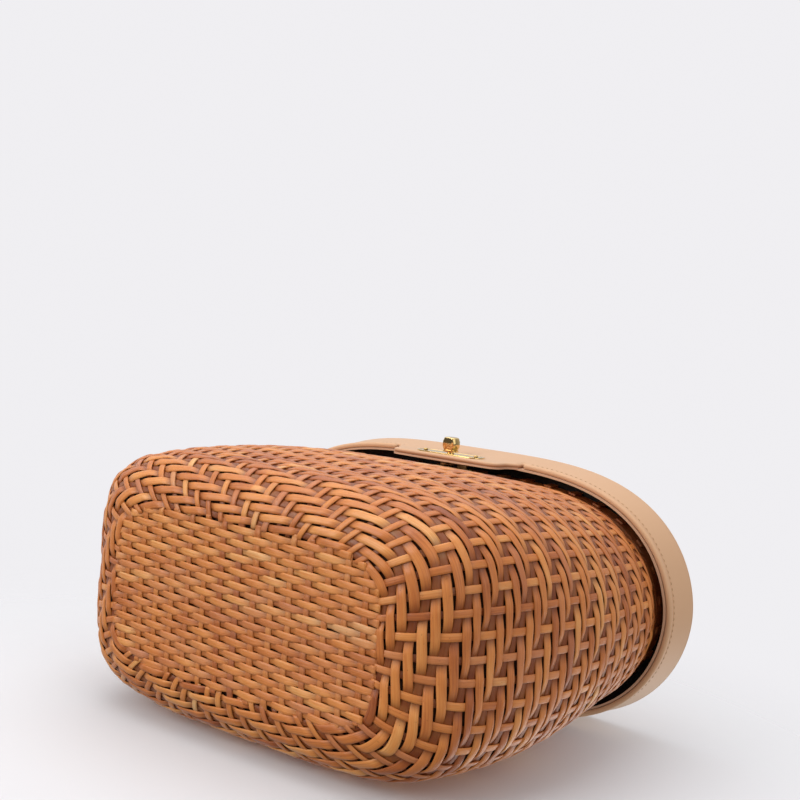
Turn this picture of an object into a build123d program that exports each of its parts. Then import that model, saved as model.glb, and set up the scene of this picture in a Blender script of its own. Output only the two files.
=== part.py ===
"""Woven cane box bag with a leather-covered lid and a brass turn clasp.

Millimetres. X runs along the long side, Y from front to back, Z up from the base.
The origin is the middle of the base. The bag stands upright with its lid closed.
"""
from build123d import *
import math
import os

# Basket, outside the weave's crests
base_half_width = 102.0
base_half_depth = 61.5
base_round = 23.0
belly_half_width = 129.5
belly_half_depth = 66.5
rim_half_width = 123.0
rim_half_depth = 56.8
rim_setback = 2.7
end_power = 3.8
base_side_power = 5.6
belly_side_power = 2.6
rim_side_power = 1.9
wall_thickness = 3.4

# Heights
lid_line = 167.6
rim_top = 184.8

# Weave
weft_courses = 24
weave_relief = 1.3
cane_thickness = 0.9
cane_width = 2.8
cane_pitch = 3.2
stake_pitch = 10.4
float_taper = 3.0
float_stakes = 1.5
shortest_float = 8.0
panel_margin = 1.5

# Rim hoops and lashing
hoop_height = 9.0
collar_height = 10.0
hoop_thickness = 1.8
seat_gap = 0.15
lashing_thickness = 0.9
lashing_width = 4.0
lashing_count = 40
lashing_shortfall = 1.8

# Lid
lid_half_width = 129.0
lid_half_depth = 62.8
skirt_flare = 0.1
skirt_lining_thickness = 1.0
skirt_leather_thickness = 2.4
lip_drop = 0.3
welt_height = 3.4
welt_proud = 0.5
cover_thickness = 1.4
cover_round = 1.1
board_thickness = 3.2
lid_lining_thickness = 0.8
sheet_clearance = 0.1
lid_rest_gap = 0.3

# Flap
flap_drop = 15.2
flap_bottom_half_width = 35.0
flap_top_half_width = 40.0
flap_bottom_radius = 6.5
flap_hip_radius = 5.0
flap_leather_thickness = 2.4
flap_lining_thickness = 1.0

# Turn clasp
clasp_drop = 6.4
plate_length = 42.0
plate_width = 12.0
plate_thickness = 1.2
plate_bevel = 0.4
backing_thickness = 0.6
lock_rivet_radius = 1.1
lock_rivet_reach = 16.5
lock_rivet_head_radius = 1.9
lock_rivet_head_height = 0.5
spindle_radius = 2.0
spindle_tip_radius = 1.5
running_clearance = 0.05
leather_clearance = 0.4
turning_gap = 0.2
collar_radius = 4.3
collar_thickness = 0.8
knob_radius = 4.7
knob_end_radius = 4.0
knob_height = 7.4
knob_end_height = 2.2
knob_thickness = 6.4
knob_edge_round = 0.7
cam_thickness = 1.0
cam_reach = 7.5
cam_width = 4.0
cam_hub_radius = 3.0
cam_gap = 0.3
retainer_radius = 2.5
retainer_thickness = 0.6

# Keeper on the basket's front
keeper_width = 26.0
keeper_height = 8.0
keeper_thickness = 1.0
hook_thickness = 1.2
hook_inner = 3.5
hook_outer = 9.5
hook_clearance = 0.3
hook_tip_gap = 0.4
keeper_rivet_reach = 9.5

# Hinge strap on the back
strap_half_width = 45.0
strap_thickness = 1.4
strap_gap = 0.1
strap_lower_reach = 34.0
strap_flat_reach = 20.0
strap_upper_reach = 15.0
hinge_offset = 0.6
hinge_drop = 0.4
strap_end_gap = 0.3
strap_rivet_positions = (-37.0, -13.0, 13.0, 37.0)
strap_rivet_margin = 6.0

# Rivets through leather and cane
rivet_radius = 1.3
rivet_head_radius = 2.6
rivet_head_height = 1.0
rivet_head_round = 0.55
rivet_clearance = 0.05
burr_thickness = 0.7
head_gap = 0.1
burr_gap = 0.5

# Outline drawing
outline_points = 48
solve_steps = 40

# Heights and sizes that follow
quarter_turn = base_round * math.pi / 2
profile_length = quarter_turn + rim_top - base_round
collar_travel = profile_length - collar_height
collar_line = rim_top - collar_height
course_pitch = collar_travel / weft_courses
lining_bottom = rim_top + seat_gap + lashing_thickness + lid_rest_gap
board_bottom = lining_bottom + lid_lining_thickness
skirt_top = board_bottom + board_thickness
lid_top = skirt_top + cover_thickness
skirt_outer = skirt_lining_thickness + skirt_leather_thickness
welt_top = lid_line + welt_height
flap_bottom = lid_line - flap_drop
flap_back = rim_setback - lid_half_depth
flap_seam = flap_back - flap_lining_thickness
flap_front = flap_seam - flap_leather_thickness
clasp_height = lid_line - clasp_drop
strap_outer = skirt_outer + strap_gap + strap_thickness
hinge_y = rim_setback + lid_half_depth + strap_outer + hinge_offset
hinge_z = lid_line - hinge_drop

low_side = (Align.CENTER, Align.CENTER, Align.MAX)
small_step = 0.01


def blend(share, low, middle, high):
    """Quadratic that passes through three values at shares 0, 0.5 and 1."""
    low_part = low * (1 - share) * (1 - 2 * share)
    middle_part = middle * 4 * share * (1 - share)
    high_part = high * share * (2 * share - 1)
    return low_part + middle_part + high_part


def reach(angle, half_width, half_depth, side_power):
    """Distance from the centre to the outline in one direction."""
    near = 0.0
    far = half_width + half_depth
    for _ in range(solve_steps):
        middle = (near + far) / 2
        along = abs(middle * math.cos(angle)) / half_width
        across = abs(middle * math.sin(angle)) / half_depth
        if along ** end_power + across ** side_power < 1:
            near = middle
        else:
            far = middle
    return near


def outline_spot(angle, half_width, half_depth, side_power, grow):
    """Point on the outline, moved outward along its normal by grow."""
    distance = reach(angle, half_width, half_depth, side_power)
    x = distance * math.cos(angle)
    y = distance * math.sin(angle)
    slope_x = end_power * (abs(x) / half_width) ** (end_power - 1) / half_width
    slope_y = side_power * (abs(y) / half_depth) ** (side_power - 1) / half_depth
    size = math.hypot(slope_x, slope_y)
    x += math.copysign(slope_x / size, math.cos(angle)) * grow
    y += math.copysign(slope_y / size, math.sin(angle)) * grow
    return x, y


def basket_spot(angle, height, inset=0.0, grow=0.0):
    """Point on the basket's outline at a height."""
    share = min(height, collar_line) / lid_line
    half_width = blend(share, base_half_width, belly_half_width, rim_half_width) - inset
    half_depth = blend(share, base_half_depth, belly_half_depth, rim_half_depth) - inset
    side_power = blend(share, base_side_power, belly_side_power, rim_side_power)
    x, y = outline_spot(angle, half_width, half_depth, side_power, grow)
    return Vector(x, y + rim_setback * share, height)


def lid_spot(angle, height, grow=0.0):
    """Point on the lid's outline at a height, grow outside the skirt's inner face."""
    flare = skirt_flare * (height - lid_line)
    x, y = outline_spot(angle, lid_half_width, lid_half_depth, rim_side_power, grow + flare)
    return Vector(x, y + rim_setback, height)


def closed_outline(spot):
    """Smooth closed outline through points at even angles."""
    angles = [2 * math.pi * step / outline_points for step in range(outline_points)]
    edge = Edge.make_spline([spot(angle) for angle in angles], periodic=True)
    return Wire([edge])


def basket_outline(height, inset=0.0, grow=0.0):
    """Closed outline of the basket at a height."""
    return closed_outline(lambda angle: basket_spot(angle, height, inset, grow))


def lid_outline(height, grow=0.0):
    """Closed outline of the lid at a height."""
    return closed_outline(lambda angle: lid_spot(angle, height, grow))


def profile_outline(travel, depth):
    """Outline at a distance up the basket's profile from the base panel's edge."""
    if travel < quarter_turn:
        turn = travel / base_round
        height = base_round - (base_round - depth) * math.cos(turn)
        inset = base_round * (1 - math.sin(turn))
        return basket_outline(height, inset, -depth * math.sin(turn))
    return basket_outline(base_round + travel - quarter_turn, 0.0, -depth)


def skin(outlines):
    """Closed solid through a stack of outlines."""
    return Solid.make_loft(outlines, ruled=True)


def lid_block(low, high, grow):
    """Solid that fills the lid's outline between two heights."""
    return skin([lid_outline(low, grow), lid_outline(high, grow)])


def lid_band(low, high, inner, outer):
    """Band that follows the lid's outline between two heights."""
    return lid_block(low, high, outer) - lid_block(low, high, inner)


def front_plane(y, height):
    """Plane across the front, its normal pointing to the front."""
    return Plane(origin=(0, y, height), x_dir=(1, 0, 0), z_dir=(0, -1, 0))


def side_plane(spot, angle, height):
    """Plane that touches a lofted side, its normal pointing outward."""
    here = spot(angle, height)
    along = spot(angle + small_step, height) - here
    up = spot(angle, height + 1) - here
    return Plane(origin=here, x_dir=along, z_dir=along.cross(up))


def angle_at(x, back):
    """Direction of the basket's outline above a given X, on the back or the front."""
    side = 1 if back else -1
    return math.atan2(side * rim_half_depth, x)


def rivet(plane, seat, depth):
    """Domed rivet on a plane, with its head at seat and its burr at depth below the plane."""
    shank = Cylinder(rivet_radius, seat + depth, align=(Align.CENTER, Align.CENTER, Align.MIN))
    shank = Pos(0, 0, -depth) * shank
    head = Pos(0, 0, seat + rivet_head_height / 2) * Cylinder(rivet_head_radius, rivet_head_height)
    head = chamfer(head.edges().group_by(Axis.Z)[-1], rivet_head_round)
    burr = Pos(0, 0, -depth - burr_thickness / 2) * Cylinder(rivet_head_radius, burr_thickness)
    return plane * (shank + head + burr)


def rivet_hole(plane, reach_out, depth):
    """Hole that a rivet passes with its clearance."""
    tool = Cylinder(rivet_radius + rivet_clearance, reach_out + depth)
    return plane * Pos(0, 0, (reach_out - depth) / 2) * tool


def strap_box(low, high):
    """Block behind the bag, as wide as the hinge strap."""
    depth = 2 * lid_half_depth
    block = Box(2 * strap_half_width, depth, high - low)
    return Pos(0, depth / 2, (low + high) / 2) * block


# Places of the rivets
hook_low = clasp_height + cam_width / 2 + hook_clearance
keeper_centre = hook_low + keeper_height / 2
keeper_plane = side_plane(basket_spot, -math.pi / 2, keeper_centre)
keeper_rivet_planes = [keeper_plane * Pos(x, 0, 0) for x in (-keeper_rivet_reach, keeper_rivet_reach)]
lower_rivet_height = lid_line - strap_lower_reach + strap_rivet_margin
lower_rivet_planes = [
    side_plane(basket_spot, angle_at(x, True), lower_rivet_height) for x in strap_rivet_positions
]
upper_rivet_height = lid_line + strap_upper_reach - strap_rivet_margin
upper_rivet_planes = [
    side_plane(lid_spot, angle_at(x, True), upper_rivet_height) for x in strap_rivet_positions
]


def placed(plane):
    """Location of a plane, whether given as a plane or a location."""
    return plane.location if isinstance(plane, Plane) else plane


def weft_sections():
    """Outlines of the ridged wall, one ridge for each pair of wefts, and the plain collar."""
    outlines = []
    for course in range(weft_courses):
        start = course * course_pitch
        outlines.append(profile_outline(start, weave_relief))
        outlines.append(profile_outline(start + course_pitch / 2, 0.0))
    outlines.append(profile_outline(collar_travel, weave_relief))
    outlines.append(profile_outline(profile_length, weave_relief))
    return outlines


def hollow_sections():
    """Outlines of the basket's inside, past the open top."""
    turn_steps = 4
    wall_steps = 6
    travels = [quarter_turn * step / turn_steps for step in range(turn_steps)]
    wall_length = collar_travel - quarter_turn
    travels += [quarter_turn + wall_length * step / wall_steps for step in range(wall_steps + 1)]
    travels.append(profile_length + wall_thickness)
    return [profile_outline(travel, wall_thickness) for travel in travels]


def base_float(x_low, x_high, y):
    """One cane float under the base, with pointed ends."""
    half = cane_width / 2
    outline = Polyline(
        (x_low, y),
        (x_low + float_taper, y - half),
        (x_high - float_taper, y - half),
        (x_high, y),
        (x_high - float_taper, y + half),
        (x_low + float_taper, y + half),
        close=True,
    )
    return extrude(make_face(outline), cane_thickness + weave_relief)


def base_floats():
    """Plain weave of cane floats under the base panel, over one stake and under the next."""
    half_width = base_half_width - base_round - panel_margin
    half_depth = base_half_depth - base_round - panel_margin
    rows = int(2 * half_depth / cane_pitch)
    repeat = 2 * stake_pitch
    sides = int(half_width / repeat) + 1
    float_length = float_stakes * stake_pitch
    floats = []
    for row in range(rows):
        y = (row - (rows - 1) / 2) * cane_pitch
        across = (abs(y) + cane_width / 2) / half_depth
        limit = half_width * max(0.0, 1 - across ** base_side_power) ** (1 / end_power)
        middle = (row - rows // 2) % 2 * stake_pitch
        for step in range(-sides, sides + 1):
            x_low = max(middle + step * repeat - float_length / 2, -limit)
            x_high = min(middle + step * repeat + float_length / 2, limit)
            if x_high - x_low > shortest_float:
                floats.append(base_float(x_low, x_high, y))
    return floats


def make_woven_basket():
    """Hollow basket with a ridged wall, a plain-woven base and holes for its rivets."""
    shell = skin(weft_sections()) - skin(hollow_sections())
    shell = shell + base_floats()
    holes = [rivet_hole(placed(plane), 2, 2 * wall_thickness) for plane in keeper_rivet_planes]
    holes += [rivet_hole(placed(plane), 2, 2 * wall_thickness) for plane in lower_rivet_planes]
    return shell - holes


def rim_band(inner, outer):
    """Hoop that follows the rim between two depths below the crests."""
    low = profile_length - hoop_height
    block = skin([profile_outline(low, outer), profile_outline(profile_length, outer)])
    core = skin([profile_outline(low, inner), profile_outline(profile_length, inner)])
    return block - core


outer_hoop_inner = weave_relief - seat_gap
outer_hoop_outer = outer_hoop_inner - hoop_thickness
inner_hoop_outer = wall_thickness + seat_gap
inner_hoop_inner = inner_hoop_outer + hoop_thickness


def lashing_wrap(angle):
    """One flat cane wrap over both hoops."""
    gap = inner_hoop_inner - outer_hoop_outer + 2 * seat_gap
    leg = hoop_height - lashing_shortfall
    outer = Rectangle(gap + 2 * lashing_thickness, leg + lashing_thickness)
    inner = Pos(0, -lashing_thickness) * Rectangle(gap, leg + lashing_thickness)
    wrap = extrude(outer - inner, lashing_width / 2, both=True)
    here = basket_spot(angle, rim_top)
    ahead = basket_spot(angle + small_step, rim_top)
    tangent = (ahead - here).normalized()
    outward = tangent.cross(Vector(0, 0, 1))
    middle = here - outward * (inner_hoop_inner + outer_hoop_outer) / 2
    middle_height = rim_top + seat_gap + lashing_thickness - (leg + lashing_thickness) / 2
    origin = Vector(middle.X, middle.Y, middle_height)
    return Plane(origin=origin, x_dir=outward, z_dir=-tangent) * wrap


def make_rim_lashing():
    """Wraps at even distances round the rim."""
    rim = basket_outline(rim_top)
    wraps = []
    for step in range(lashing_count):
        spot = rim.position_at((step + 0.5) / lashing_count)
        share = collar_line / lid_line
        wraps.append(lashing_wrap(math.atan2(spot.Y - rim_setback * share, spot.X)))
    return Compound(children=wraps)


def make_lower_strap():
    """Lower leaf, flat on the back wall and then out to the hinge line."""
    low = lid_line - strap_lower_reach
    bend = lid_line - strap_flat_reach
    top = hinge_z - strap_end_gap
    inner_edge = strap_gap
    outer_edge = strap_gap + strap_thickness
    hinge_inner = strap_outer - strap_thickness
    middle = (low + bend) / 2
    block = skin([
        basket_outline(low, grow=outer_edge),
        basket_outline(middle, grow=outer_edge),
        basket_outline(bend, grow=outer_edge),
        lid_outline(top, strap_outer),
    ])
    core = skin([
        basket_outline(low, grow=inner_edge),
        basket_outline(middle, grow=inner_edge),
        basket_outline(bend, grow=inner_edge),
        lid_outline(top, hinge_inner),
    ])
    leaf = (block - core) & strap_box(low - 1, top + 1)
    holes = [rivet_hole(placed(plane), 2 * strap_thickness, 1) for plane in lower_rivet_planes]
    return leaf - holes


def make_upper_strap():
    """Upper leaf, against the back of the skirt."""
    low = lid_line - hinge_drop + strap_end_gap
    high = lid_line + strap_upper_reach
    leaf = lid_band(low, high, skirt_outer + strap_gap, strap_outer) & strap_box(low - 1, high + 1)
    holes = [rivet_hole(placed(plane), 2 * strap_outer, 1) for plane in upper_rivet_planes]
    return leaf - holes


def make_rivets(planes, seat, depth):
    """Group of like rivets."""
    return Compound(children=[rivet(placed(plane), seat, depth) for plane in planes])


def make_keeper():
    """Keeper plate on the front wall, with a hook beside the cam's way."""
    lift = strap_gap + keeper_thickness / 2
    plate = keeper_plane * Pos(0, 0, lift) * Box(keeper_width, keeper_height, keeper_thickness)
    hook_tip = backing_back + hook_tip_gap
    hook_root = keeper_plane.origin.Y
    hook = Box(hook_outer - hook_inner, hook_root - hook_tip, hook_thickness)
    hook_middle = (hook_inner + hook_outer) / 2
    hook = Pos(hook_middle, (hook_root + hook_tip) / 2, hook_low + hook_thickness / 2) * hook
    behind = Box(keeper_width, 2 * keeper_height, keeper_height, align=low_side)
    hook = hook - keeper_plane * Pos(0, 0, lift) * behind
    holes = [rivet_hole(placed(plane), 2 * lift, 1) for plane in keeper_rivet_planes]
    return plate + hook - holes


def flap_shape(thickness, y):
    """Flap outline in the front plane, as thick as one leather, its front at y."""
    height = flap_drop + welt_height
    hip = flap_drop - (flap_top_half_width - flap_bottom_half_width)
    outline = Polyline(
        (-flap_top_half_width, height),
        (-flap_top_half_width, flap_drop),
        (-flap_bottom_half_width, hip),
        (-flap_bottom_half_width, 0),
        (flap_bottom_half_width, 0),
        (flap_bottom_half_width, hip),
        (flap_top_half_width, flap_drop),
        (flap_top_half_width, height),
        close=True,
    )
    face = make_face(outline)
    corners = face.vertices().group_by(Axis.Y)[0]
    face = fillet(corners, flap_bottom_radius)
    hips = [corner for corner in face.vertices() if abs(corner.Y - hip) < small_step]
    face = fillet(hips, flap_hip_radius)
    return front_plane(y, flap_bottom) * extrude(face, -thickness)


def clasp_cylinder(radius, front, back):
    """Cylinder on the clasp's axis between two Y places."""
    tool = Cylinder(radius, back - front, align=low_side)
    return front_plane(front, clasp_height) * tool


def lock_rivet_cylinders(radius, front, back):
    """Cylinders on the two lock rivets' axes."""
    tool = Cylinder(radius, back - front, align=low_side)
    plane = front_plane(front, clasp_height)
    return [plane * Pos(x, 0, 0) * tool for x in (-lock_rivet_reach, lock_rivet_reach)]


plate_front = flap_front - plate_thickness
backing_back = flap_back + backing_thickness
cam_front = backing_back + cam_gap
cam_back = cam_front + cam_thickness
spindle_end = cam_back + retainer_thickness
collar_back = plate_front - turning_gap
collar_front = collar_back - collar_thickness
tip_bore_radius = spindle_tip_radius + running_clearance / 2


def lock_holes(spindle_gap):
    """Holes for the spindle and the two lock rivets."""
    front = plate_front - 1
    back = backing_back + 1
    bore = clasp_cylinder(spindle_radius + spindle_gap, front, back)
    return [bore] + lock_rivet_cylinders(lock_rivet_radius + rivet_clearance, front, back)


def make_flap_leather():
    """Outer leather of the flap, joined to the skirt's lower edge."""
    flap = flap_shape(flap_leather_thickness, flap_front)
    flap = flap - lid_block(lid_line - lip_drop, welt_top + 1, skirt_lining_thickness)
    return flap - lock_holes(leather_clearance)


def make_flap_lining():
    """Inner leather of the flap, up to the skirt's lip."""
    lining = flap_shape(flap_lining_thickness, flap_seam)
    above = Pos(0, flap_seam, lid_line - lip_drop + 2 * welt_height)
    lining = lining - above * Box(4 * flap_top_half_width, 4 * welt_height, 4 * welt_height)
    return lining - lock_holes(leather_clearance)


def make_skirt():
    """Outer leather band of the lid, with holes for the hinge rivets."""
    band = lid_band(welt_top, skirt_top, skirt_lining_thickness, skirt_outer)
    behind = lid_band(lid_line, welt_top, skirt_lining_thickness, skirt_outer)
    tab = behind & strap_box(lid_line - 1, welt_top + 1)
    holes = [rivet_hole(placed(plane), 2 * skirt_outer, 1) for plane in upper_rivet_planes]
    return band + tab - holes


def make_skirt_lining():
    """Inner band of the skirt, with a thin lip below the welt."""
    band = lid_band(lid_line - lip_drop, skirt_top, 0.0, skirt_lining_thickness)
    holes = [rivet_hole(placed(plane), 2 * skirt_outer, 1) for plane in upper_rivet_planes]
    return band - holes


def make_welt():
    """Rolled welt along the skirt's lower edge, open at the flap and the strap."""
    steps = 5
    outlines = []
    for step in range(steps + 1):
        turn = math.pi * step / steps
        height = lid_line + welt_height * (1 - math.cos(turn)) / 2
        grow = skirt_outer - welt_proud + 2 * welt_proud * math.sin(turn)
        outlines.append(lid_outline(height, grow))
    ring = skin(outlines) - lid_block(lid_line, welt_top, skirt_lining_thickness)
    flap_way = Box(2 * flap_top_half_width, lid_half_depth, 4 * welt_height)
    flap_way = Pos(0, -lid_half_depth, lid_line) * flap_way
    return ring - flap_way - strap_box(lid_line - 1, welt_top + 1)


def make_cover():
    """Leather top with a rounded edge."""
    return skin([
        lid_outline(skirt_top, skirt_outer),
        lid_outline(skirt_top + cover_thickness / 2, skirt_outer - cover_round / 4),
        lid_outline(lid_top, skirt_outer - cover_round),
    ])


def make_lock_plate():
    """Plain oblong plate with a bevelled edge."""
    oblong = extrude(SlotOverall(plate_length, plate_width), -plate_thickness)
    oblong = chamfer(oblong.edges().group_by(Axis.Z)[-1], plate_bevel)
    return front_plane(plate_front, clasp_height) * oblong - lock_holes(running_clearance)


def make_lock_backing():
    """Thin plate behind the flap."""
    oblong = extrude(SlotOverall(plate_length, plate_width), -backing_thickness)
    return front_plane(flap_back, clasp_height) * oblong - lock_holes(running_clearance)


def make_lock_rivets():
    """Pins from the lock plate's face to heads behind the backing."""
    shanks = lock_rivet_cylinders(lock_rivet_radius, plate_front, backing_back)
    head_back = backing_back + lock_rivet_head_height
    heads = lock_rivet_cylinders(lock_rivet_head_radius, backing_back, head_back)
    return Compound(children=[shank + head for shank, head in zip(shanks, heads)])


def make_knob():
    """Barrel-shaped knob with two flat sides."""
    profile = Polyline(
        (0, 0),
        (knob_end_radius, 0),
        (knob_radius, knob_end_height),
        (knob_radius, knob_height - knob_end_height),
        (knob_end_radius, knob_height),
        (0, knob_height),
        close=True,
    )
    barrel = revolve(Plane.XZ * make_face(profile), Axis.Z)
    barrel = barrel & Box(4 * knob_radius, knob_thickness, 2 * knob_height)
    barrel = fillet(barrel.edges().group_by(Axis.Z)[-1], knob_edge_round)
    return front_plane(collar_front, clasp_height) * barrel


def make_spindle():
    """Spindle with a collar outside the plate and a thin tip for the cam."""
    collar = clasp_cylinder(collar_radius, collar_front, collar_back)
    shaft = clasp_cylinder(spindle_radius, collar_back, cam_front)
    tip = clasp_cylinder(spindle_tip_radius, cam_front, spindle_end)
    return collar + shaft + tip


def make_cam():
    """One-armed cam that hangs down when the clasp is open."""
    hub = Cylinder(cam_hub_radius, cam_thickness, align=low_side)
    straight = cam_reach - cam_width / 2
    arm = Pos(0, -straight / 2, 0) * Box(cam_width, straight, cam_thickness, align=low_side)
    end = Pos(0, -straight, 0) * Cylinder(cam_width / 2, cam_thickness, align=low_side)
    cam = front_plane(cam_front, clasp_height) * (hub + arm + end)
    return cam - clasp_cylinder(tip_bore_radius, cam_front - 1, cam_back + 1)


def make_retainer():
    """Ring riveted on the spindle's tip behind the cam."""
    ring = clasp_cylinder(retainer_radius, cam_back, spindle_end)
    return ring - clasp_cylinder(tip_bore_radius, cam_back - 1, spindle_end + 1)


sheet_edge = -sheet_clearance
strap_seat = strap_gap + strap_thickness + head_gap
upper_seat = strap_outer + head_gap
keeper_seat = strap_gap + keeper_thickness + head_gap
through_wall = wall_thickness + burr_gap

parts = {
    "woven_basket": make_woven_basket(),
    "rim_hoop_outer": rim_band(outer_hoop_inner, outer_hoop_outer),
    "rim_hoop_inner": rim_band(inner_hoop_inner, inner_hoop_outer),
    "rim_lashing": make_rim_lashing(),
    "hinge_strap_basket": make_lower_strap(),
    "hinge_rivets_basket": make_rivets(lower_rivet_planes, strap_seat, through_wall),
    "keeper_plate": make_keeper(),
    "keeper_rivets": make_rivets(keeper_rivet_planes, keeper_seat, through_wall),
    "lid_board": lid_block(board_bottom, skirt_top, sheet_edge),
    "lid_cover": make_cover(),
    "lid_skirt": make_skirt(),
    "skirt_lining": make_skirt_lining(),
    "lid_lining": lid_block(lining_bottom, board_bottom, sheet_edge),
    "edge_welt": make_welt(),
    "flap_leather": make_flap_leather(),
    "flap_lining": make_flap_lining(),
    "lock_plate": make_lock_plate(),
    "lock_backing": make_lock_backing(),
    "lock_rivets": make_lock_rivets(),
    "hinge_strap_lid": make_upper_strap(),
    "hinge_rivets_lid": make_rivets(upper_rivet_planes, upper_seat, burr_gap),
    "turn_knob": make_knob(),
    "knob_spindle": make_spindle(),
    "latch_cam": make_cam(),
    "cam_retainer": make_retainer(),
}

os.makedirs("parts", exist_ok=True)
for name, shape in parts.items():
    export_step(shape, os.path.join("parts", name + ".step"))
print("hinge axis", round(hinge_y, 3), round(hinge_z, 3))
print("clasp axis height", round(clasp_height, 3))
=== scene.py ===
"""Woven cane box bag with a leather lid and a brass turn clasp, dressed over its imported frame.

Positions are metres in the frame of the CAD model. The forms below are worked out in
millimetres, because the strands are small, and become metres when a mesh is made.
"""
import logging
import math
from dataclasses import dataclass, field
from enum import Enum
from typing import Callable, Dict, List, Optional, Sequence, Tuple

import bpy
import numpy as np
from mathutils import Matrix, Vector


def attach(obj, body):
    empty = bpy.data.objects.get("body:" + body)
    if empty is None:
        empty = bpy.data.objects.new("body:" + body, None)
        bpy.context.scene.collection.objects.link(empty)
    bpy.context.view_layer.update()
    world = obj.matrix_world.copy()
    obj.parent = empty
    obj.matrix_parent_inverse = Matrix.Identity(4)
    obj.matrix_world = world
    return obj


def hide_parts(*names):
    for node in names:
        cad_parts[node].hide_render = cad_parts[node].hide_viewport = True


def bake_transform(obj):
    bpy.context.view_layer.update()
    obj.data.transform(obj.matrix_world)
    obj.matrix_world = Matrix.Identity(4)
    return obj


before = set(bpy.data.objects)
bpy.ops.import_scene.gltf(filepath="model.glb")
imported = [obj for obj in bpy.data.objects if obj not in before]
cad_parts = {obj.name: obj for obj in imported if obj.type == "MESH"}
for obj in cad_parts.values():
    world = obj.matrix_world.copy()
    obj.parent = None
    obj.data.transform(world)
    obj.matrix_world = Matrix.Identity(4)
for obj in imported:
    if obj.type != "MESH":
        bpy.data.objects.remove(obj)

logging.basicConfig(level=logging.INFO, format="%(message)s")
log = logging.getLogger("box_bag")

MM = 0.001
PATTERN_REACH = 1000.0
STRIP_CORNERS = (
    (-1.0, -0.1), (-0.9, 0.66), (-0.45, 1.0), (0.45, 1.0),
    (0.9, 0.66), (1.0, -0.1), (0.8, -0.9), (-0.8, -0.9),
)
SIDES = len(STRIP_CORNERS)
Colour = Tuple[float, float, float]
Place = Tuple[float, float, float]
Points = np.ndarray


class Face(Enum):
    """Which face of a leather panel a row of points lies on."""

    OUTER = 1
    INNER = -1


# Forms


@dataclass(frozen=True)
class BasketForm:
    """Outside of the basket, over the crests of its weave, in millimetres."""

    base_half_width: float = 102.0
    base_half_depth: float = 61.5
    base_round: float = 23.0
    belly_half_width: float = 129.5
    belly_half_depth: float = 66.5
    rim_half_width: float = 123.0
    rim_half_depth: float = 56.8
    rim_setback: float = 2.7
    end_power: float = 3.8
    base_side_power: float = 5.6
    belly_side_power: float = 2.6
    rim_side_power: float = 1.9
    lid_line: float = 167.6
    rim_top: float = 184.8
    collar_height: float = 10.0
    end_bulge: float = 2.5
    bulge_height: float = 163.0
    bulge_below: float = 26.0
    bulge_above: float = 13.0
    bulge_start: float = 0.55
    bulge_run: float = 0.38

    @property
    def quarter_turn(self) -> float:
        """Length of the rounded edge between base and wall."""
        return self.base_round * math.pi / 2

    @property
    def profile_length(self) -> float:
        """Way up from the base panel's edge to the rim."""
        return self.quarter_turn + self.rim_top - self.base_round

    @staticmethod
    def blend(share: float, low: float, middle: float, high: float) -> float:
        """Quadratic through three values at shares 0, 0.5 and 1."""
        part = low * (1 - share) * (1 - 2 * share) + middle * 4 * share * (1 - share)
        return part + high * share * (2 * share - 1)

    def ring(self, travel: float, angles: Points) -> Points:
        """Outline at a distance up the profile.

        Args:
            travel: Distance from the base panel's edge, negative inside the panel.
            angles: Directions from the middle.

        Returns:
            One point for each direction.
        """
        if travel < 0:
            height, inset = 0.0, self.base_round - travel
        elif travel < self.quarter_turn:
            turn = travel / self.base_round
            height = self.base_round * (1 - math.cos(turn))
            inset = self.base_round * (1 - math.sin(turn))
        else:
            height, inset = self.base_round + travel - self.quarter_turn, 0.0
        share = min(height, self.rim_top - self.collar_height) / self.lid_line
        width = self.blend(share, self.base_half_width, self.belly_half_width, self.rim_half_width)
        depth = self.blend(share, self.base_half_depth, self.belly_half_depth, self.rim_half_depth)
        power = self.blend(
            share, self.base_side_power, self.belly_side_power, self.rim_side_power
        )
        flat = superellipse(angles, width - inset, depth - inset, self.end_power, power)
        away = height - self.bulge_height
        away /= self.bulge_below if away < 0 else self.bulge_above
        if abs(away) < 1:
            ends = np.clip((np.abs(np.cos(angles)) - self.bulge_start) / self.bulge_run, 0, 1)
            bulge = self.end_bulge * (1 - away ** 2) ** 2 * ends ** 2 * (3 - 2 * ends)
            flat *= 1 + (bulge / np.linalg.norm(flat, axis=1))[:, None]
        flat[:, 1] += self.rim_setback * share
        return np.column_stack([flat, np.full(len(angles), height)])


@dataclass(frozen=True)
class LidForm:
    """Inner face of the lid's skirt, in millimetres."""

    half_width: float = 129.0
    half_depth: float = 62.8
    setback: float = 2.7
    end_power: float = 3.8
    side_power: float = 1.9
    flare: float = 0.1
    lid_line: float = 167.6
    welt_height: float = 3.4
    lid_top: float = 191.55
    lining: float = 1.0
    outer: float = 3.4
    lowest: float = 150.0

    def ring(self, height: float, angles: Points) -> Points:
        """Outline of the skirt's inner face at a height.

        Args:
            height: Height above the base.
            angles: Directions from the middle.

        Returns:
            One point for each direction.
        """
        flat = superellipse(
            angles, self.half_width, self.half_depth, self.end_power, self.side_power
        )
        flat = grown(flat, self.flare * max(0.0, height - self.lid_line))
        flat[:, 1] += self.setback
        return np.column_stack([flat, np.full(len(angles), height)])


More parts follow.
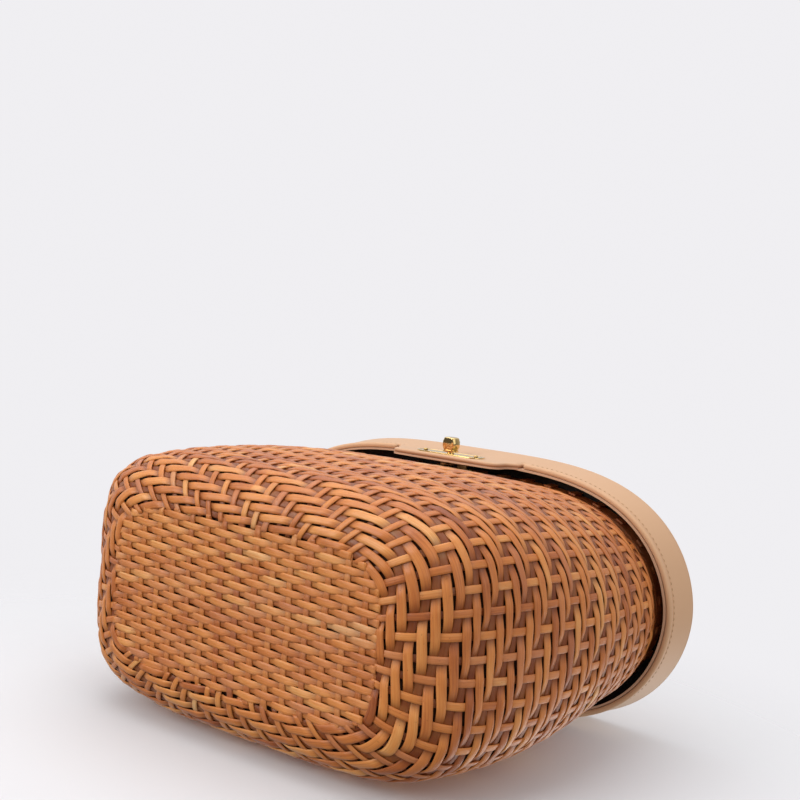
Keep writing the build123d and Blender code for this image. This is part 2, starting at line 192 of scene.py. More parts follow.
def superellipse(
    angles: Points, width: float, depth: float, end_power: float, side_power: float
) -> Points:
    """Rounded oblong with its own power along each axis.

    Args:
        angles: Directions from the middle.
        width: Half of the length along X.
        depth: Half of the length along Y.
        end_power: Power of the X term.
        side_power: Power of the Y term.

    Returns:
        One flat point for each direction.
    """
    cos, sin = np.cos(angles), np.sin(angles)
    near, far = np.zeros_like(angles), np.full_like(angles, width + depth)
    for _ in range(36):
        middle = (near + far) / 2
        size = np.abs(middle * cos / width) ** end_power + np.abs(middle * sin / depth) ** side_power
        near = np.where(size < 1, middle, near)
        far = np.where(size < 1, far, middle)
    return np.column_stack([near * cos, near * sin])


def grown(flat: Points, grow: float) -> Points:
    """Closed outline moved outward along its normals.

    Args:
        flat: Points of the outline, in order round it.
        grow: Distance to move them.

    Returns:
        The moved points.
    """
    along = np.roll(flat, -1, axis=0) - np.roll(flat, 1, axis=0)
    normal = np.column_stack([along[:, 1], -along[:, 0]])
    return flat + grow * normal / np.linalg.norm(normal, axis=1, keepdims=True)


def way_along(points: Points) -> Points:
    """Way from the first point of a line to each of its points."""
    steps = np.linalg.norm(np.diff(points, axis=0), axis=1)
    return np.concatenate([[0.0], np.cumsum(steps)])


def read_line(places: Points, along: Points, points: Points) -> Points:
    """Points of a line at given ways along it.

    Args:
        places: Ways to read at.
        along: Way of each point of the line.
        points: Points of the line.

    Returns:
        One point for each place.
    """
    return np.column_stack([np.interp(places, along, values) for values in points.T])


class Surface:
    """Closed surface read by arc share round it and level up it."""

    def __init__(
        self, ring: Callable[[float, Points], Points], levels: Points, columns: int = 1024
    ) -> None:
        """Fills the tables of points and normals.

        Args:
            ring: Gives the outline at a level for a set of directions.
            levels: Even levels from low to high.
            columns: Points round each outline.
        """
        self.levels = levels
        self.columns = columns
        angles = np.linspace(-math.pi / 2, 3 * math.pi / 2, 4 * columns, endpoint=False)
        rows = []
        for level in levels:
            points = ring(float(level), angles)
            closed = np.vstack([points, points[:1]])
            length = way_along(closed)
            wanted = np.linspace(0, length[-1], columns, endpoint=False)
            rows.append(read_line(wanted, length, closed))
        self.points = np.stack(rows)
        self.lengths = [
            float(np.linalg.norm(np.diff(np.vstack([row, row[:1]]), axis=0), axis=1).sum())
            for row in self.points
        ]
        along = np.roll(self.points, -1, axis=1) - np.roll(self.points, 1, axis=1)
        up = np.gradient(self.points, axis=0)
        normal = np.cross(along, up)
        self.normals = normal / np.maximum(np.linalg.norm(normal, axis=2, keepdims=True), 1e-9)

    def at(self, share: Points, level: Points, out: Points) -> Points:
        """Points over the surface.

        Args:
            share: Place round the outline, from 0 to 1 and beyond.
            level: Level on the surface.
            out: Distance outside the surface.

        Returns:
            Points in millimetres.
        """
        column = np.mod(share, 1.0) * self.columns
        low = np.floor(column).astype(int) % self.columns
        high = (low + 1) % self.columns
        across = (column - np.floor(column))[:, None]
        span = (level - self.levels[0]) / (self.levels[1] - self.levels[0])
        row = np.clip(np.floor(span).astype(int), 0, len(self.levels) - 2)
        rise = (span - row)[:, None]

        def read(table: Points) -> Points:
            """Blends the four entries round each place.

            Args:
                table: Points or normals of the surface.

            Returns:
                One blended entry for each place.
            """
            first = table[row, low] * (1 - across) + table[row, high] * across
            second = table[row + 1, low] * (1 - across) + table[row + 1, high] * across
            return first * (1 - rise) + second * rise

        normal = read(self.normals)
        normal /= np.linalg.norm(normal, axis=1, keepdims=True)
        return read(self.points) + normal * out[:, None]

    def length_at(self, level: float) -> float:
        """Length of the outline at a level."""
        return float(np.interp(level, self.levels, self.lengths))


# Mesh helpers


def clear_selection() -> None:
    """Leaves object mode with nothing selected."""
    if bpy.context.object and bpy.context.object.mode != "OBJECT":
        bpy.ops.object.mode_set(mode="OBJECT")
    bpy.ops.object.select_all(action="DESELECT")


def make_active(piece: bpy.types.Object) -> None:
    """Selects one object alone.

    Args:
        piece: Object to select.
    """
    clear_selection()
    piece.select_set(True)
    bpy.context.view_layer.objects.active = piece


def settle(piece: bpy.types.Object, name: str) -> bpy.types.Object:
    """Names a new object and puts its place into its mesh.

    Args:
        piece: Object just made.
        name: Name of the object and its mesh.

    Returns:
        The same object.
    """
    make_active(piece)
    piece.name = name
    piece.data.name = name
    bpy.ops.object.transform_apply(location=True, rotation=True, scale=True)
    return piece


def apply_all(piece: bpy.types.Object) -> None:
    """Applies every modifier in order.

    Args:
        piece: Object whose modifiers are applied.
    """
    make_active(piece)
    for modifier in list(piece.modifiers):
        bpy.ops.object.modifier_apply(modifier=modifier.name)


def smooth(piece: bpy.types.Object, angle: float = 40.0) -> None:
    """Shades a piece smooth up to an angle in degrees."""
    make_active(piece)
    bpy.ops.object.shade_smooth_by_angle(angle=math.radians(angle))


def mesh_piece(
    name: str, points: Points, faces: Sequence[Sequence[int]], uvs: Optional[Points] = None,
    strand: Optional[Points] = None,
) -> bpy.types.Object:
    """Object from points in millimetres.

    Args:
        name: Name of the piece.
        points: Points in millimetres.
        faces: Corners of each face.
        uvs: One pair for each face corner, for a pattern that follows the piece.
        strand: One tone, painted shade and shift for each point of a cane strand.

    Returns:
        The new object, smooth all over.
    """
    mesh = bpy.data.meshes.new(name)
    mesh.from_pydata((points * MM).tolist(), [], [list(map(int, face)) for face in faces])
    mesh.polygons.foreach_set("use_smooth", np.ones(len(mesh.polygons), bool))
    if uvs is not None:
        layer = mesh.uv_layers.new(name="along")
        layer.data.foreach_set("uv", np.asarray(uvs, np.float32).ravel())
    if strand is not None:
        layer = mesh.color_attributes.new("strand", "FLOAT_COLOR", "POINT")
        full = np.column_stack([strand, np.ones(len(strand))]).astype(np.float32)
        layer.data.foreach_set("color", full.ravel())
    mesh.update()
    piece = bpy.data.objects.new(name, mesh)
    bpy.context.scene.collection.objects.link(piece)
    return piece


def ring_faces(rings: int, count: int) -> List[List[int]]:
    """Faces between closed rings of points, and one that closes the first ring.

    Args:
        rings: Number of rings.
        count: Points in each ring.

    Returns:
        Corners of each face.
    """
    index = np.arange(rings * count).reshape(rings, count)
    low, high = index[:-1], index[1:]
    quads = np.stack([low, np.roll(low, -1, 1), np.roll(high, -1, 1), high], -1)
    return quads.reshape(-1, 4).tolist() + [index[0][::-1].tolist()]


def round_edges(
    piece: bpy.types.Object, width: float, segments: int, angle: float = 30.0
) -> None:
    """Rounds the sharp edges of a piece.

    Args:
        piece: Object whose edges are rounded.
        width: Width of the rounding in millimetres.
        segments: Steps over it.
        angle: Least angle of a sharp edge, in degrees.
    """
    edge = piece.modifiers.new("edge", "BEVEL")
    edge.width = width * MM
    edge.segments = segments
    edge.limit_method = "ANGLE"
    edge.angle_limit = math.radians(angle)
    apply_all(piece)


def select_top(piece: bpy.types.Object) -> None:
    """Selects the highest level faces of a piece and leaves it in edit mode.

    Args:
        piece: Object whose faces are selected.
    """
    bpy.ops.object.mode_set(mode="EDIT")
    bpy.ops.mesh.select_mode(type="FACE")
    bpy.ops.mesh.select_all(action="DESELECT")
    bpy.ops.object.mode_set(mode="OBJECT")
    highest = max(face.center.z for face in piece.data.polygons)
    for face in piece.data.polygons:
        face.select = face.normal.z > 0.9 and face.center.z > highest - 1e-6
    bpy.ops.object.mode_set(mode="EDIT")


@dataclass
class StrandBatch:
    """Gathers many swept strands into one mesh."""

    name: str
    points: List[Points] = field(default_factory=list)
    faces: List[Points] = field(default_factory=list)
    uvs: List[Points] = field(default_factory=list)
    strand: List[Points] = field(default_factory=list)
    count: int = 0

    def add(self, grid: Points, along: Points, tones: Points, closed: bool) -> None:
        """Adds one strand.

        Args:
            grid: Points as stations by section corners by three.
            along: Distance of each station along the strand, in millimetres.
            tones: Tone, painted shade and shift of each station, or of each corner of each station.
            closed: True for a ring, False for a strand with two capped ends.
        """
        stations, corners, _ = grid.shape
        index = np.arange(stations * corners).reshape(stations, corners) + self.count
        ahead = np.roll(index, -1, axis=0) if closed else index[1:]
        here = index if closed else index[:-1]
        quads = np.stack(
            [here, np.roll(here, -1, axis=1), np.roll(ahead, -1, axis=1), ahead], axis=-1
        )
        self.faces.append(quads.reshape(-1, 4))
        step = along[1] - along[0]
        start = along if closed else along[:-1]
        around = np.arange(corners) / corners
        u_low = np.repeat(start[:, None], corners, axis=1)
        v_low = np.repeat(around[None, :], len(start), axis=0)
        v_high = v_low + 1 / corners
        u_high = u_low + step
        block = np.stack([
            np.stack([u_low, v_low], -1), np.stack([u_low, v_high], -1),
            np.stack([u_high, v_high], -1), np.stack([u_high, v_low], -1),
        ], axis=2)
        self.uvs.append(block.reshape(-1, 2))
        self.points.append(grid.reshape(-1, 3))
        each = tones if tones.ndim == 3 else np.repeat(tones[:, None], corners, axis=1)
        self.strand.append(each.reshape(-1, 3))
        if not closed:
            for end, turn in ((index[0], -1), (index[-1], 1)):
                half = corners // 2
                ring = end[::turn]
                caps = [
                    [ring[k], ring[k + 1], ring[corners - 2 - k], ring[corners - 1 - k]]
                    for k in range(half - 1)
                ]
                self.faces.append(np.array(caps))
                self.uvs.append(np.zeros((4 * len(caps), 2)))
        self.count += stations * corners

    def finish(self) -> bpy.types.Object:
        """Makes the object of all strands added.

        Returns:
            The new object.
        """
        piece = mesh_piece(
            self.name,
            np.vstack(self.points),
            [face for block in self.faces for face in block.tolist()],
            np.vstack(self.uvs),
            np.vstack(self.strand),
        )
        log.info("%s: %d points", self.name, self.count)
        return piece


# Material helpers


class NodeBoard:
    """Short hand for adding and joining nodes in one tree."""

    def __init__(self, tree: bpy.types.NodeTree) -> None:
        """Works on a material's tree or a group."""
        self.tree = tree

    def add(self, kind: str, **values: object) -> bpy.types.Node:
        """Adds a node, setting its properties by name.

        Args:
            kind: Type of the node.
            values: Value of each property to set.

        Returns:
            The new node.
        """
        node = self.tree.nodes.new(kind)
        for key, value in values.items():
            setattr(node, key, value)
        return node

    def join(self, source: bpy.types.NodeSocket, target: bpy.types.NodeSocket) -> None:
        """Joins an output to an input."""
        self.tree.links.new(source, target)

    def math(self, what: str, first: object, second: object = None) -> bpy.types.NodeSocket:
        """Result of a math node whose inputs are sockets or numbers.

        Args:
            what: Name of the operation.
            first: First input.
            second: Second input, where the operation has one.

        Returns:
            Output of the node.
        """
        node = self.add("ShaderNodeMath", operation=what)
        for slot, value in enumerate((first, second)):
            if isinstance(value, bpy.types.NodeSocket):
                self.join(value, node.inputs[slot])
            elif value is not None:
                node.inputs[slot].default_value = value
        return node.outputs[0]

    def mix(
        self, factor: object, first: object, second: object, how: str = "MIX"
    ) -> bpy.types.NodeSocket:
        """Result of a colour mix whose inputs are sockets or colours.

        Args:
            factor: Share of the second colour.
            first: First colour.
            second: Second colour.
            how: Name of the way to blend.

        Returns:
            Output of the node.
        """
        node = self.add("ShaderNodeMix", data_type="RGBA", blend_type=how)
        for slot, value in ((0, factor), (6, first), (7, second)):
            if isinstance(value, bpy.types.NodeSocket):
                self.join(value, node.inputs[slot])
            elif slot == 0:
                node.inputs[slot].default_value = value
            else:
                node.inputs[slot].default_value = (*value, 1.0)
        return node.outputs[2]

    def ramp(
        self, source: bpy.types.NodeSocket, stops: Sequence[Tuple[float, Colour]]
    ) -> bpy.types.NodeSocket:
        """Colour of a value along a ramp.

        Args:
            source: Value to look up.
            stops: Place and colour of each stop.

        Returns:
            The colour found.
        """
        node = self.add("ShaderNodeValToRGB")
        band = node.color_ramp.elements
        while len(band) < len(stops):
            band.new(0.5)
        for element, (place, colour) in zip(band, stops):
            element.position = place
            element.color = (*colour, 1.0)
        self.join(source, node.inputs[0])
        return node.outputs[0]

    def noise(
        self, vector: bpy.types.NodeSocket, scale: float, detail: float = 3.0, rough: float = 0.5
    ) -> bpy.types.NodeSocket:
        """Value of a noise texture.

        Args:
            vector: Coordinates.
            scale: Waves over one unit.
            detail: Number of finer layers.
            rough: Weight of the finer layers.

        Returns:
            The value, from 0 to 1.
        """
        node = self.add("ShaderNodeTexNoise")
        node.inputs["Scale"].default_value = scale
        node.inputs["Detail"].default_value = detail
        node.inputs["Roughness"].default_value = rough
        self.join(vector, node.inputs["Vector"])
        return node.outputs[0]

    def stretch(
        self, vector: bpy.types.NodeSocket, scale: Tuple[float, float, float]
    ) -> bpy.types.NodeSocket:
        """Coordinates scaled along each axis.

        Args:
            vector: Coordinates.
            scale: Factor for each axis.

        Returns:
            The scaled coordinates.
        """
        node = self.add("ShaderNodeMapping")
        node.inputs["Scale"].default_value = scale
        self.join(vector, node.inputs["Vector"])
        return node.outputs[0]

    def bump(
        self, height: bpy.types.NodeSocket, shader: bpy.types.Node, strength: float,
        distance: float = 0.0002,
    ) -> None:
        """Gives a shader a bumpy surface.

        Args:
            height: Height of the bumps.
            shader: Shader that shows them.
            strength: Weight of the bumps.
            distance: Reach of the bumps in metres.
        """
        node = self.add("ShaderNodeBump")
        node.inputs["Strength"].default_value = strength
        node.inputs["Distance"].default_value = distance
        self.join(height, node.inputs["Height"])
        self.join(node.outputs[0], shader.inputs["Normal"])

    def span(
        self, value: bpy.types.NodeSocket, source: Tuple[float, float],
        target: Tuple[float, float], how: str = "LINEAR",
    ) -> bpy.types.NodeSocket:
        """Moves a value from one span to another.

        Args:
            value: Value to move.
            source: First and last value of the span that it comes from.
            target: First and last value of the span that it goes to.
            how: Name of the way between them.

        Returns:
            The moved value.
        """
        node = self.add("ShaderNodeMapRange", interpolation_type=how)
        for label, number in zip(("From Min", "From Max", "To Min", "To Max"), source + target):
            node.inputs[label].default_value = number
        self.join(value, node.inputs[0])
        return node.outputs[0]


def new_material(name: str) -> Tuple[bpy.types.Material, NodeBoard, bpy.types.Node]:
    """Empty material with a Principled shader joined to its output.

    Args:
        name: Name of the material.

    Returns:
        The material, a board on its tree, and the shader.
    """
    material = bpy.data.materials.new(name)
    material.use_nodes = True
    material.node_tree.nodes.clear()
    board = NodeBoard(material.node_tree)
    shader = board.add("ShaderNodeBsdfPrincipled")
    output = board.add("ShaderNodeOutputMaterial")
    board.join(shader.outputs[0], output.inputs[0])
    return material, board, shader


def new_group(
    name: str, inputs: Sequence[Tuple[str, str, float]], outputs: Sequence[Tuple[str, str]]
) -> Tuple[bpy.types.NodeTree, NodeBoard, bpy.types.Node, bpy.types.Node]:
    """Empty node group with its sockets.

    Args:
        name: Name of the group.
        inputs: Name, socket kind and first value of each input.
        outputs: Name and socket kind of each output.

    Returns:
        The group, a board on it, and its input and output nodes.
    """
    group = bpy.data.node_groups.new(name, "ShaderNodeTree")
    for label, kind, value in inputs:
        socket = group.interface.new_socket(label, in_out="INPUT", socket_type=kind)
        if kind == "NodeSocketFloat":
            socket.default_value = value
    for label, kind in outputs:
        group.interface.new_socket(label, in_out="OUTPUT", socket_type=kind)
    board = NodeBoard(group)
    return group, board, board.add("NodeGroupInput"), board.add("NodeGroupOutput")


class SharedGroup:
    """Node group that several materials place."""

    tree: bpy.types.NodeTree

    def place(
        self, board: NodeBoard, vector: bpy.types.NodeSocket
    ) -> bpy.types.bpy_prop_collection:
        """Places the group in a material and gives its outputs.

        Args:
            board: Board of the material.
            vector: Coordinates of the pattern.

        Returns:
            Outputs of the group.
        """
        node = board.add("ShaderNodeGroup")
        node.node_tree = self.tree
        board.join(vector, node.inputs["Vector"])
        return node.outputs


class FibreGroup(SharedGroup):
    """Long fibre lines and blotches along a strand, shared by all cane."""

    def __init__(self) -> None:
        """Builds the group once."""
        self.tree, board, source, target = new_group(
            "cane_fibre",
            [("Vector", "NodeSocketVector", 0.0)],
            [("Lines", "NodeSocketFloat"), ("Blotch", "NodeSocketFloat"), ("Specks", "NodeSocketFloat")],
        )
        vector = source.outputs["Vector"]
        lines = board.noise(board.stretch(vector, (0.035, 26.0, 1.0)), 1.0, 4.0, 0.62)
        blotch = board.noise(board.stretch(vector, (0.055, 2.2, 1.0)), 1.0, 2.0, 0.5)
        specks = board.noise(board.stretch(vector, (0.55, 14.0, 1.0)), 1.0, 2.0, 0.5)
        board.join(lines, target.inputs["Lines"])
        board.join(blotch, target.inputs["Blotch"])
        board.join(specks, target.inputs["Specks"])


class GrainGroup(SharedGroup):
    """Fine pebbled grain and slow cloudiness of smooth leather."""

    def __init__(self) -> None:
        """Builds the group once."""
        self.tree, board, source, target = new_group(
            "leather_grain",
            [("Vector", "NodeSocketVector", 0.0)],
            [("Pebbles", "NodeSocketFloat"), ("Clouds", "NodeSocketFloat")],
        )
        vector = source.outputs["Vector"]
        cells = board.add("ShaderNodeTexVoronoi", feature="SMOOTH_F1")
        cells.inputs["Scale"].default_value = 1500.0
        board.join(vector, cells.inputs["Vector"])
        fine = board.noise(vector, 900.0, 3.0, 0.6)
        pebbles = board.math("ADD", board.math("MULTIPLY", cells.outputs[0], 0.6), fine)
        board.join(pebbles, target.inputs["Pebbles"])
        board.join(board.noise(vector, 14.0, 3.0, 0.55), target.inputs["Clouds"])


@dataclass(frozen=True)
class CaneFinish:
    """Varnished cane, its tone set strand by strand, with painted shade where strands dive under others.
    """

    name: str
    by_strand: bool = True
    roughness: float = 0.4
    coat: float = 0.3
    shades: Tuple[Tuple[float, Colour], ...] = (
        (0.0, (0.310, 0.070, 0.013)),
        (0.22, (0.470, 0.125, 0.024)),
        (0.45, (0.640, 0.200, 0.040)),
        (0.68, (0.750, 0.275, 0.062)),
        (0.86, (0.810, 0.370, 0.110)),
        (1.0, (0.880, 0.500, 0.200)),
    )
    mauve: Colour = (0.540, 0.195, 0.090)
    # Dark colour for the real specks in the fibre and for painted shade where strands dive.
    speck_and_painted_shade: Colour = (0.150, 0.024, 0.001)
    shift: float = 0.0
    clouding: float = 0.6
    streaking: float = 0.8
    # Weight of the painted shade of diving strands.
    painted_shade_strength: float = 0.78
    mauve_start: float = 0.45
    most_mauve: float = 0.75

    def build(self, fibre: FibreGroup) -> bpy.types.Material:
        """Builds the material.

        Args:
            fibre: Group of the fibre lines.

        Returns:
            The new material.
        """
        material, board, shader = new_material(self.name)
        if self.by_strand:
            uv = board.add("ShaderNodeUVMap", uv_map="along")
            attribute = board.add("ShaderNodeAttribute", attribute_name="strand")
            parts = board.add("ShaderNodeSeparateColor")
            board.join(attribute.outputs["Color"], parts.inputs[0])
            tone, painted_shade, shift = parts.outputs[0], parts.outputs[1], parts.outputs[2]
            vector = uv.outputs[0]
        else:
            place = board.add("ShaderNodeTexCoord")
            vector = board.stretch(place.outputs["Object"], (1000.0, 1000.0, 1000.0))
            # For the hoops, the tone offset and a painted shade of a fifth of the tone darken them as if
            # shaded under the lid.
            tone = board.math("ADD", board.noise(vector, 0.03, 2.0), self.shift)
            painted_shade = board.math("MULTIPLY", tone, 0.2)
            shift = board.noise(vector, 0.05, 1.0)
        lines, blotch, specks = fibre.place(board, vector)
        cloud = board.math("MULTIPLY", board.math("SUBTRACT", blotch, 0.5), self.clouding)
        streak = board.math("MULTIPLY", board.math("SUBTRACT", lines, 0.5), self.streaking)
        shade = board.math("ADD", board.math("ADD", tone, cloud), streak)
        colour = board.ramp(shade, self.shades)
        tint = board.math("MULTIPLY", board.math("SUBTRACT", shift, self.mauve_start), 1.5)
        tint = board.math("MINIMUM", board.math("MAXIMUM", tint, 0.0), self.most_mauve)
        colour = board.mix(tint, colour, self.mauve)
        speck = board.math("GREATER_THAN", specks, 0.70)
        colour = board.mix(board.math("MULTIPLY", speck, 0.35), colour, self.speck_and_painted_shade)
        # Painted shade: the colour darkened where strands dive under crossing ones.
        shade_share = board.math("MULTIPLY", board.math("POWER", painted_shade, 1.3), self.painted_shade_strength)
        colour = board.mix(shade_share, colour, self.speck_and_painted_shade)
        board.join(colour, shader.inputs["Base Color"])
        rough = board.math("ADD", board.math("MULTIPLY", lines, 0.22), self.roughness - 0.1)
        board.join(rough, shader.inputs["Roughness"])
        shader.inputs["Coat Weight"].default_value = self.coat
        shader.inputs["Coat Roughness"].default_value = 0.3
        height = board.math("ADD", lines, board.math("MULTIPLY", specks, 0.4))
        board.bump(height, shader, 0.6, 0.0004)
        return material


@dataclass(frozen=True)
class LeatherFinish:
    """Smooth tanned leather."""

    name: str
    colour: Colour
    cloud: Colour
    roughness: float = 0.5
    grain: float = 0.12
    burnish: Colour = (0.420, 0.190, 0.090)

    def build(self, grain: GrainGroup) -> bpy.types.Material:
        """Builds the material.

        Args:
            grain: Group of the grain.

        Returns:
            The new material.
        """
        material, board, shader = new_material(self.name)
        place = board.add("ShaderNodeTexCoord")
        pebbles, clouds = grain.place(board, place.outputs["Object"])
        attribute = board.add("ShaderNodeAttribute", attribute_name="strand")
        parts = board.add("ShaderNodeSeparateColor")
        board.join(attribute.outputs["Color"], parts.inputs[0])
        colour = board.mix(clouds, self.colour, self.cloud)
        colour = board.mix(parts.outputs[1], colour, self.burnish)
        board.join(colour, shader.inputs["Base Color"])
        rough = board.math("ADD", board.math("MULTIPLY", clouds, 0.16), self.roughness - 0.08)
        board.join(rough, shader.inputs["Roughness"])
        shader.inputs["Sheen Weight"].default_value = 0.08
        shader.inputs["Coat Weight"].default_value = 0.06
        shader.inputs["Coat Roughness"].default_value = 0.4
        board.bump(pebbles, shader, self.grain)
        return material


@dataclass(frozen=True)
class MetalFinish:
    """Gold-toned brass."""

    name: str
    colour: Colour = (0.94, 0.68, 0.30)
    roughness: float = 0.16

    def build(self) -> bpy.types.Material:
        """Builds the material.

        Returns:
            The new material.
        """
        material, board, shader = new_material(self.name)
        place = board.add("ShaderNodeTexCoord")
        haze = board.noise(place.outputs["Object"], 260.0, 3.0)
        darker = tuple(value * 0.86 for value in self.colour)
        board.join(board.mix(haze, self.colour, darker), shader.inputs["Base Color"])
        rough = board.math("ADD", board.math("MULTIPLY", haze, 0.08), self.roughness - 0.04)
        board.join(rough, shader.inputs["Roughness"])
        shader.inputs["Metallic"].default_value = 1.0
        return material


@dataclass(frozen=True)
class ClothFinish:
    """Plain woven lining cloth or board, or the dark sheet of painted shade behind the weave."""

    name: str
    colour: Colour
    threads: float = 2600.0

    def build(self) -> bpy.types.Material:
        """Builds the material.

        Returns:
            The new material.
        """
        material, board, shader = new_material(self.name)
        place = board.add("ShaderNodeTexCoord")
        weave = board.add("ShaderNodeTexWave", wave_type="BANDS", bands_direction="X")
        weave.inputs["Scale"].default_value = self.threads
        cross = board.add("ShaderNodeTexWave", wave_type="BANDS", bands_direction="Y")
        cross.inputs["Scale"].default_value = self.threads
        board.join(place.outputs["Object"], weave.inputs["Vector"])
        board.join(place.outputs["Object"], cross.inputs["Vector"])
        cloth = board.math("MAXIMUM", weave.outputs["Fac"], cross.outputs["Fac"])
        darker = tuple(value * 0.6 for value in self.colour)
        board.join(board.mix(cloth, darker, self.colour), shader.inputs["Base Color"])
        shader.inputs["Roughness"].default_value = 0.85
        board.bump(cloth, shader, 0.3)
        return material


class Palette:
    """Every finish of the bag, built once."""

    def __init__(self) -> None:
        """Builds the groups and the materials."""
        fibre, grain = FibreGroup(), GrainGroup()
        self.cane = CaneFinish("cane_strands").build(fibre)
        # The hoops' tone is lowered by a quarter: painted shade for their place under the lid's skirt.
        self.hoop = CaneFinish(
            "cane_hoops", by_strand=False, roughness=0.45, shift=-0.25
        ).build(fibre)
        self.leather = LeatherFinish(
            "tan_leather", (0.720, 0.440, 0.255), (0.665, 0.385, 0.212)
        ).build(grain)
        self.inner = LeatherFinish(
            "inner_leather", (0.640, 0.390, 0.250), (0.560, 0.330, 0.200), 0.6
        ).build(grain)
        self.thread = ClothFinish("thread", (0.500, 0.280, 0.145)).build()
        self.lining = ClothFinish("lining_cloth", (0.030, 0.024, 0.020)).build()
        # Dark sheet behind the weave, painted shade seen through its gaps.
        self.shade_sheet = ClothFinish("shade_sheet_fibre", (0.060, 0.022, 0.009)).build()
        self.board = ClothFinish("lid_board_fibre", (0.300, 0.220, 0.150), 900.0).build()
        self.brass = MetalFinish("brass").build()
        # Dark brass for the pieces under the flap and behind the plate: painted shade.
        self.shade_dark = MetalFinish("shade_dark_brass", (0.300, 0.185, 0.080), 0.42).build()
        self.polished = MetalFinish("polished_brass", roughness=0.08).build()


def dress(piece: bpy.types.Object, material: bpy.types.Material) -> None:
    """Gives a piece one material."""
    piece.data.materials.clear()
    piece.data.materials.append(material)


# Woven basket


@dataclass(frozen=True)
class ToneRange:
    """How light and how mauve one kind of strand is, and how far it strays."""

    tone: float
    spread: float
    float_spread: float
    mauve: float
    mauve_spread: float


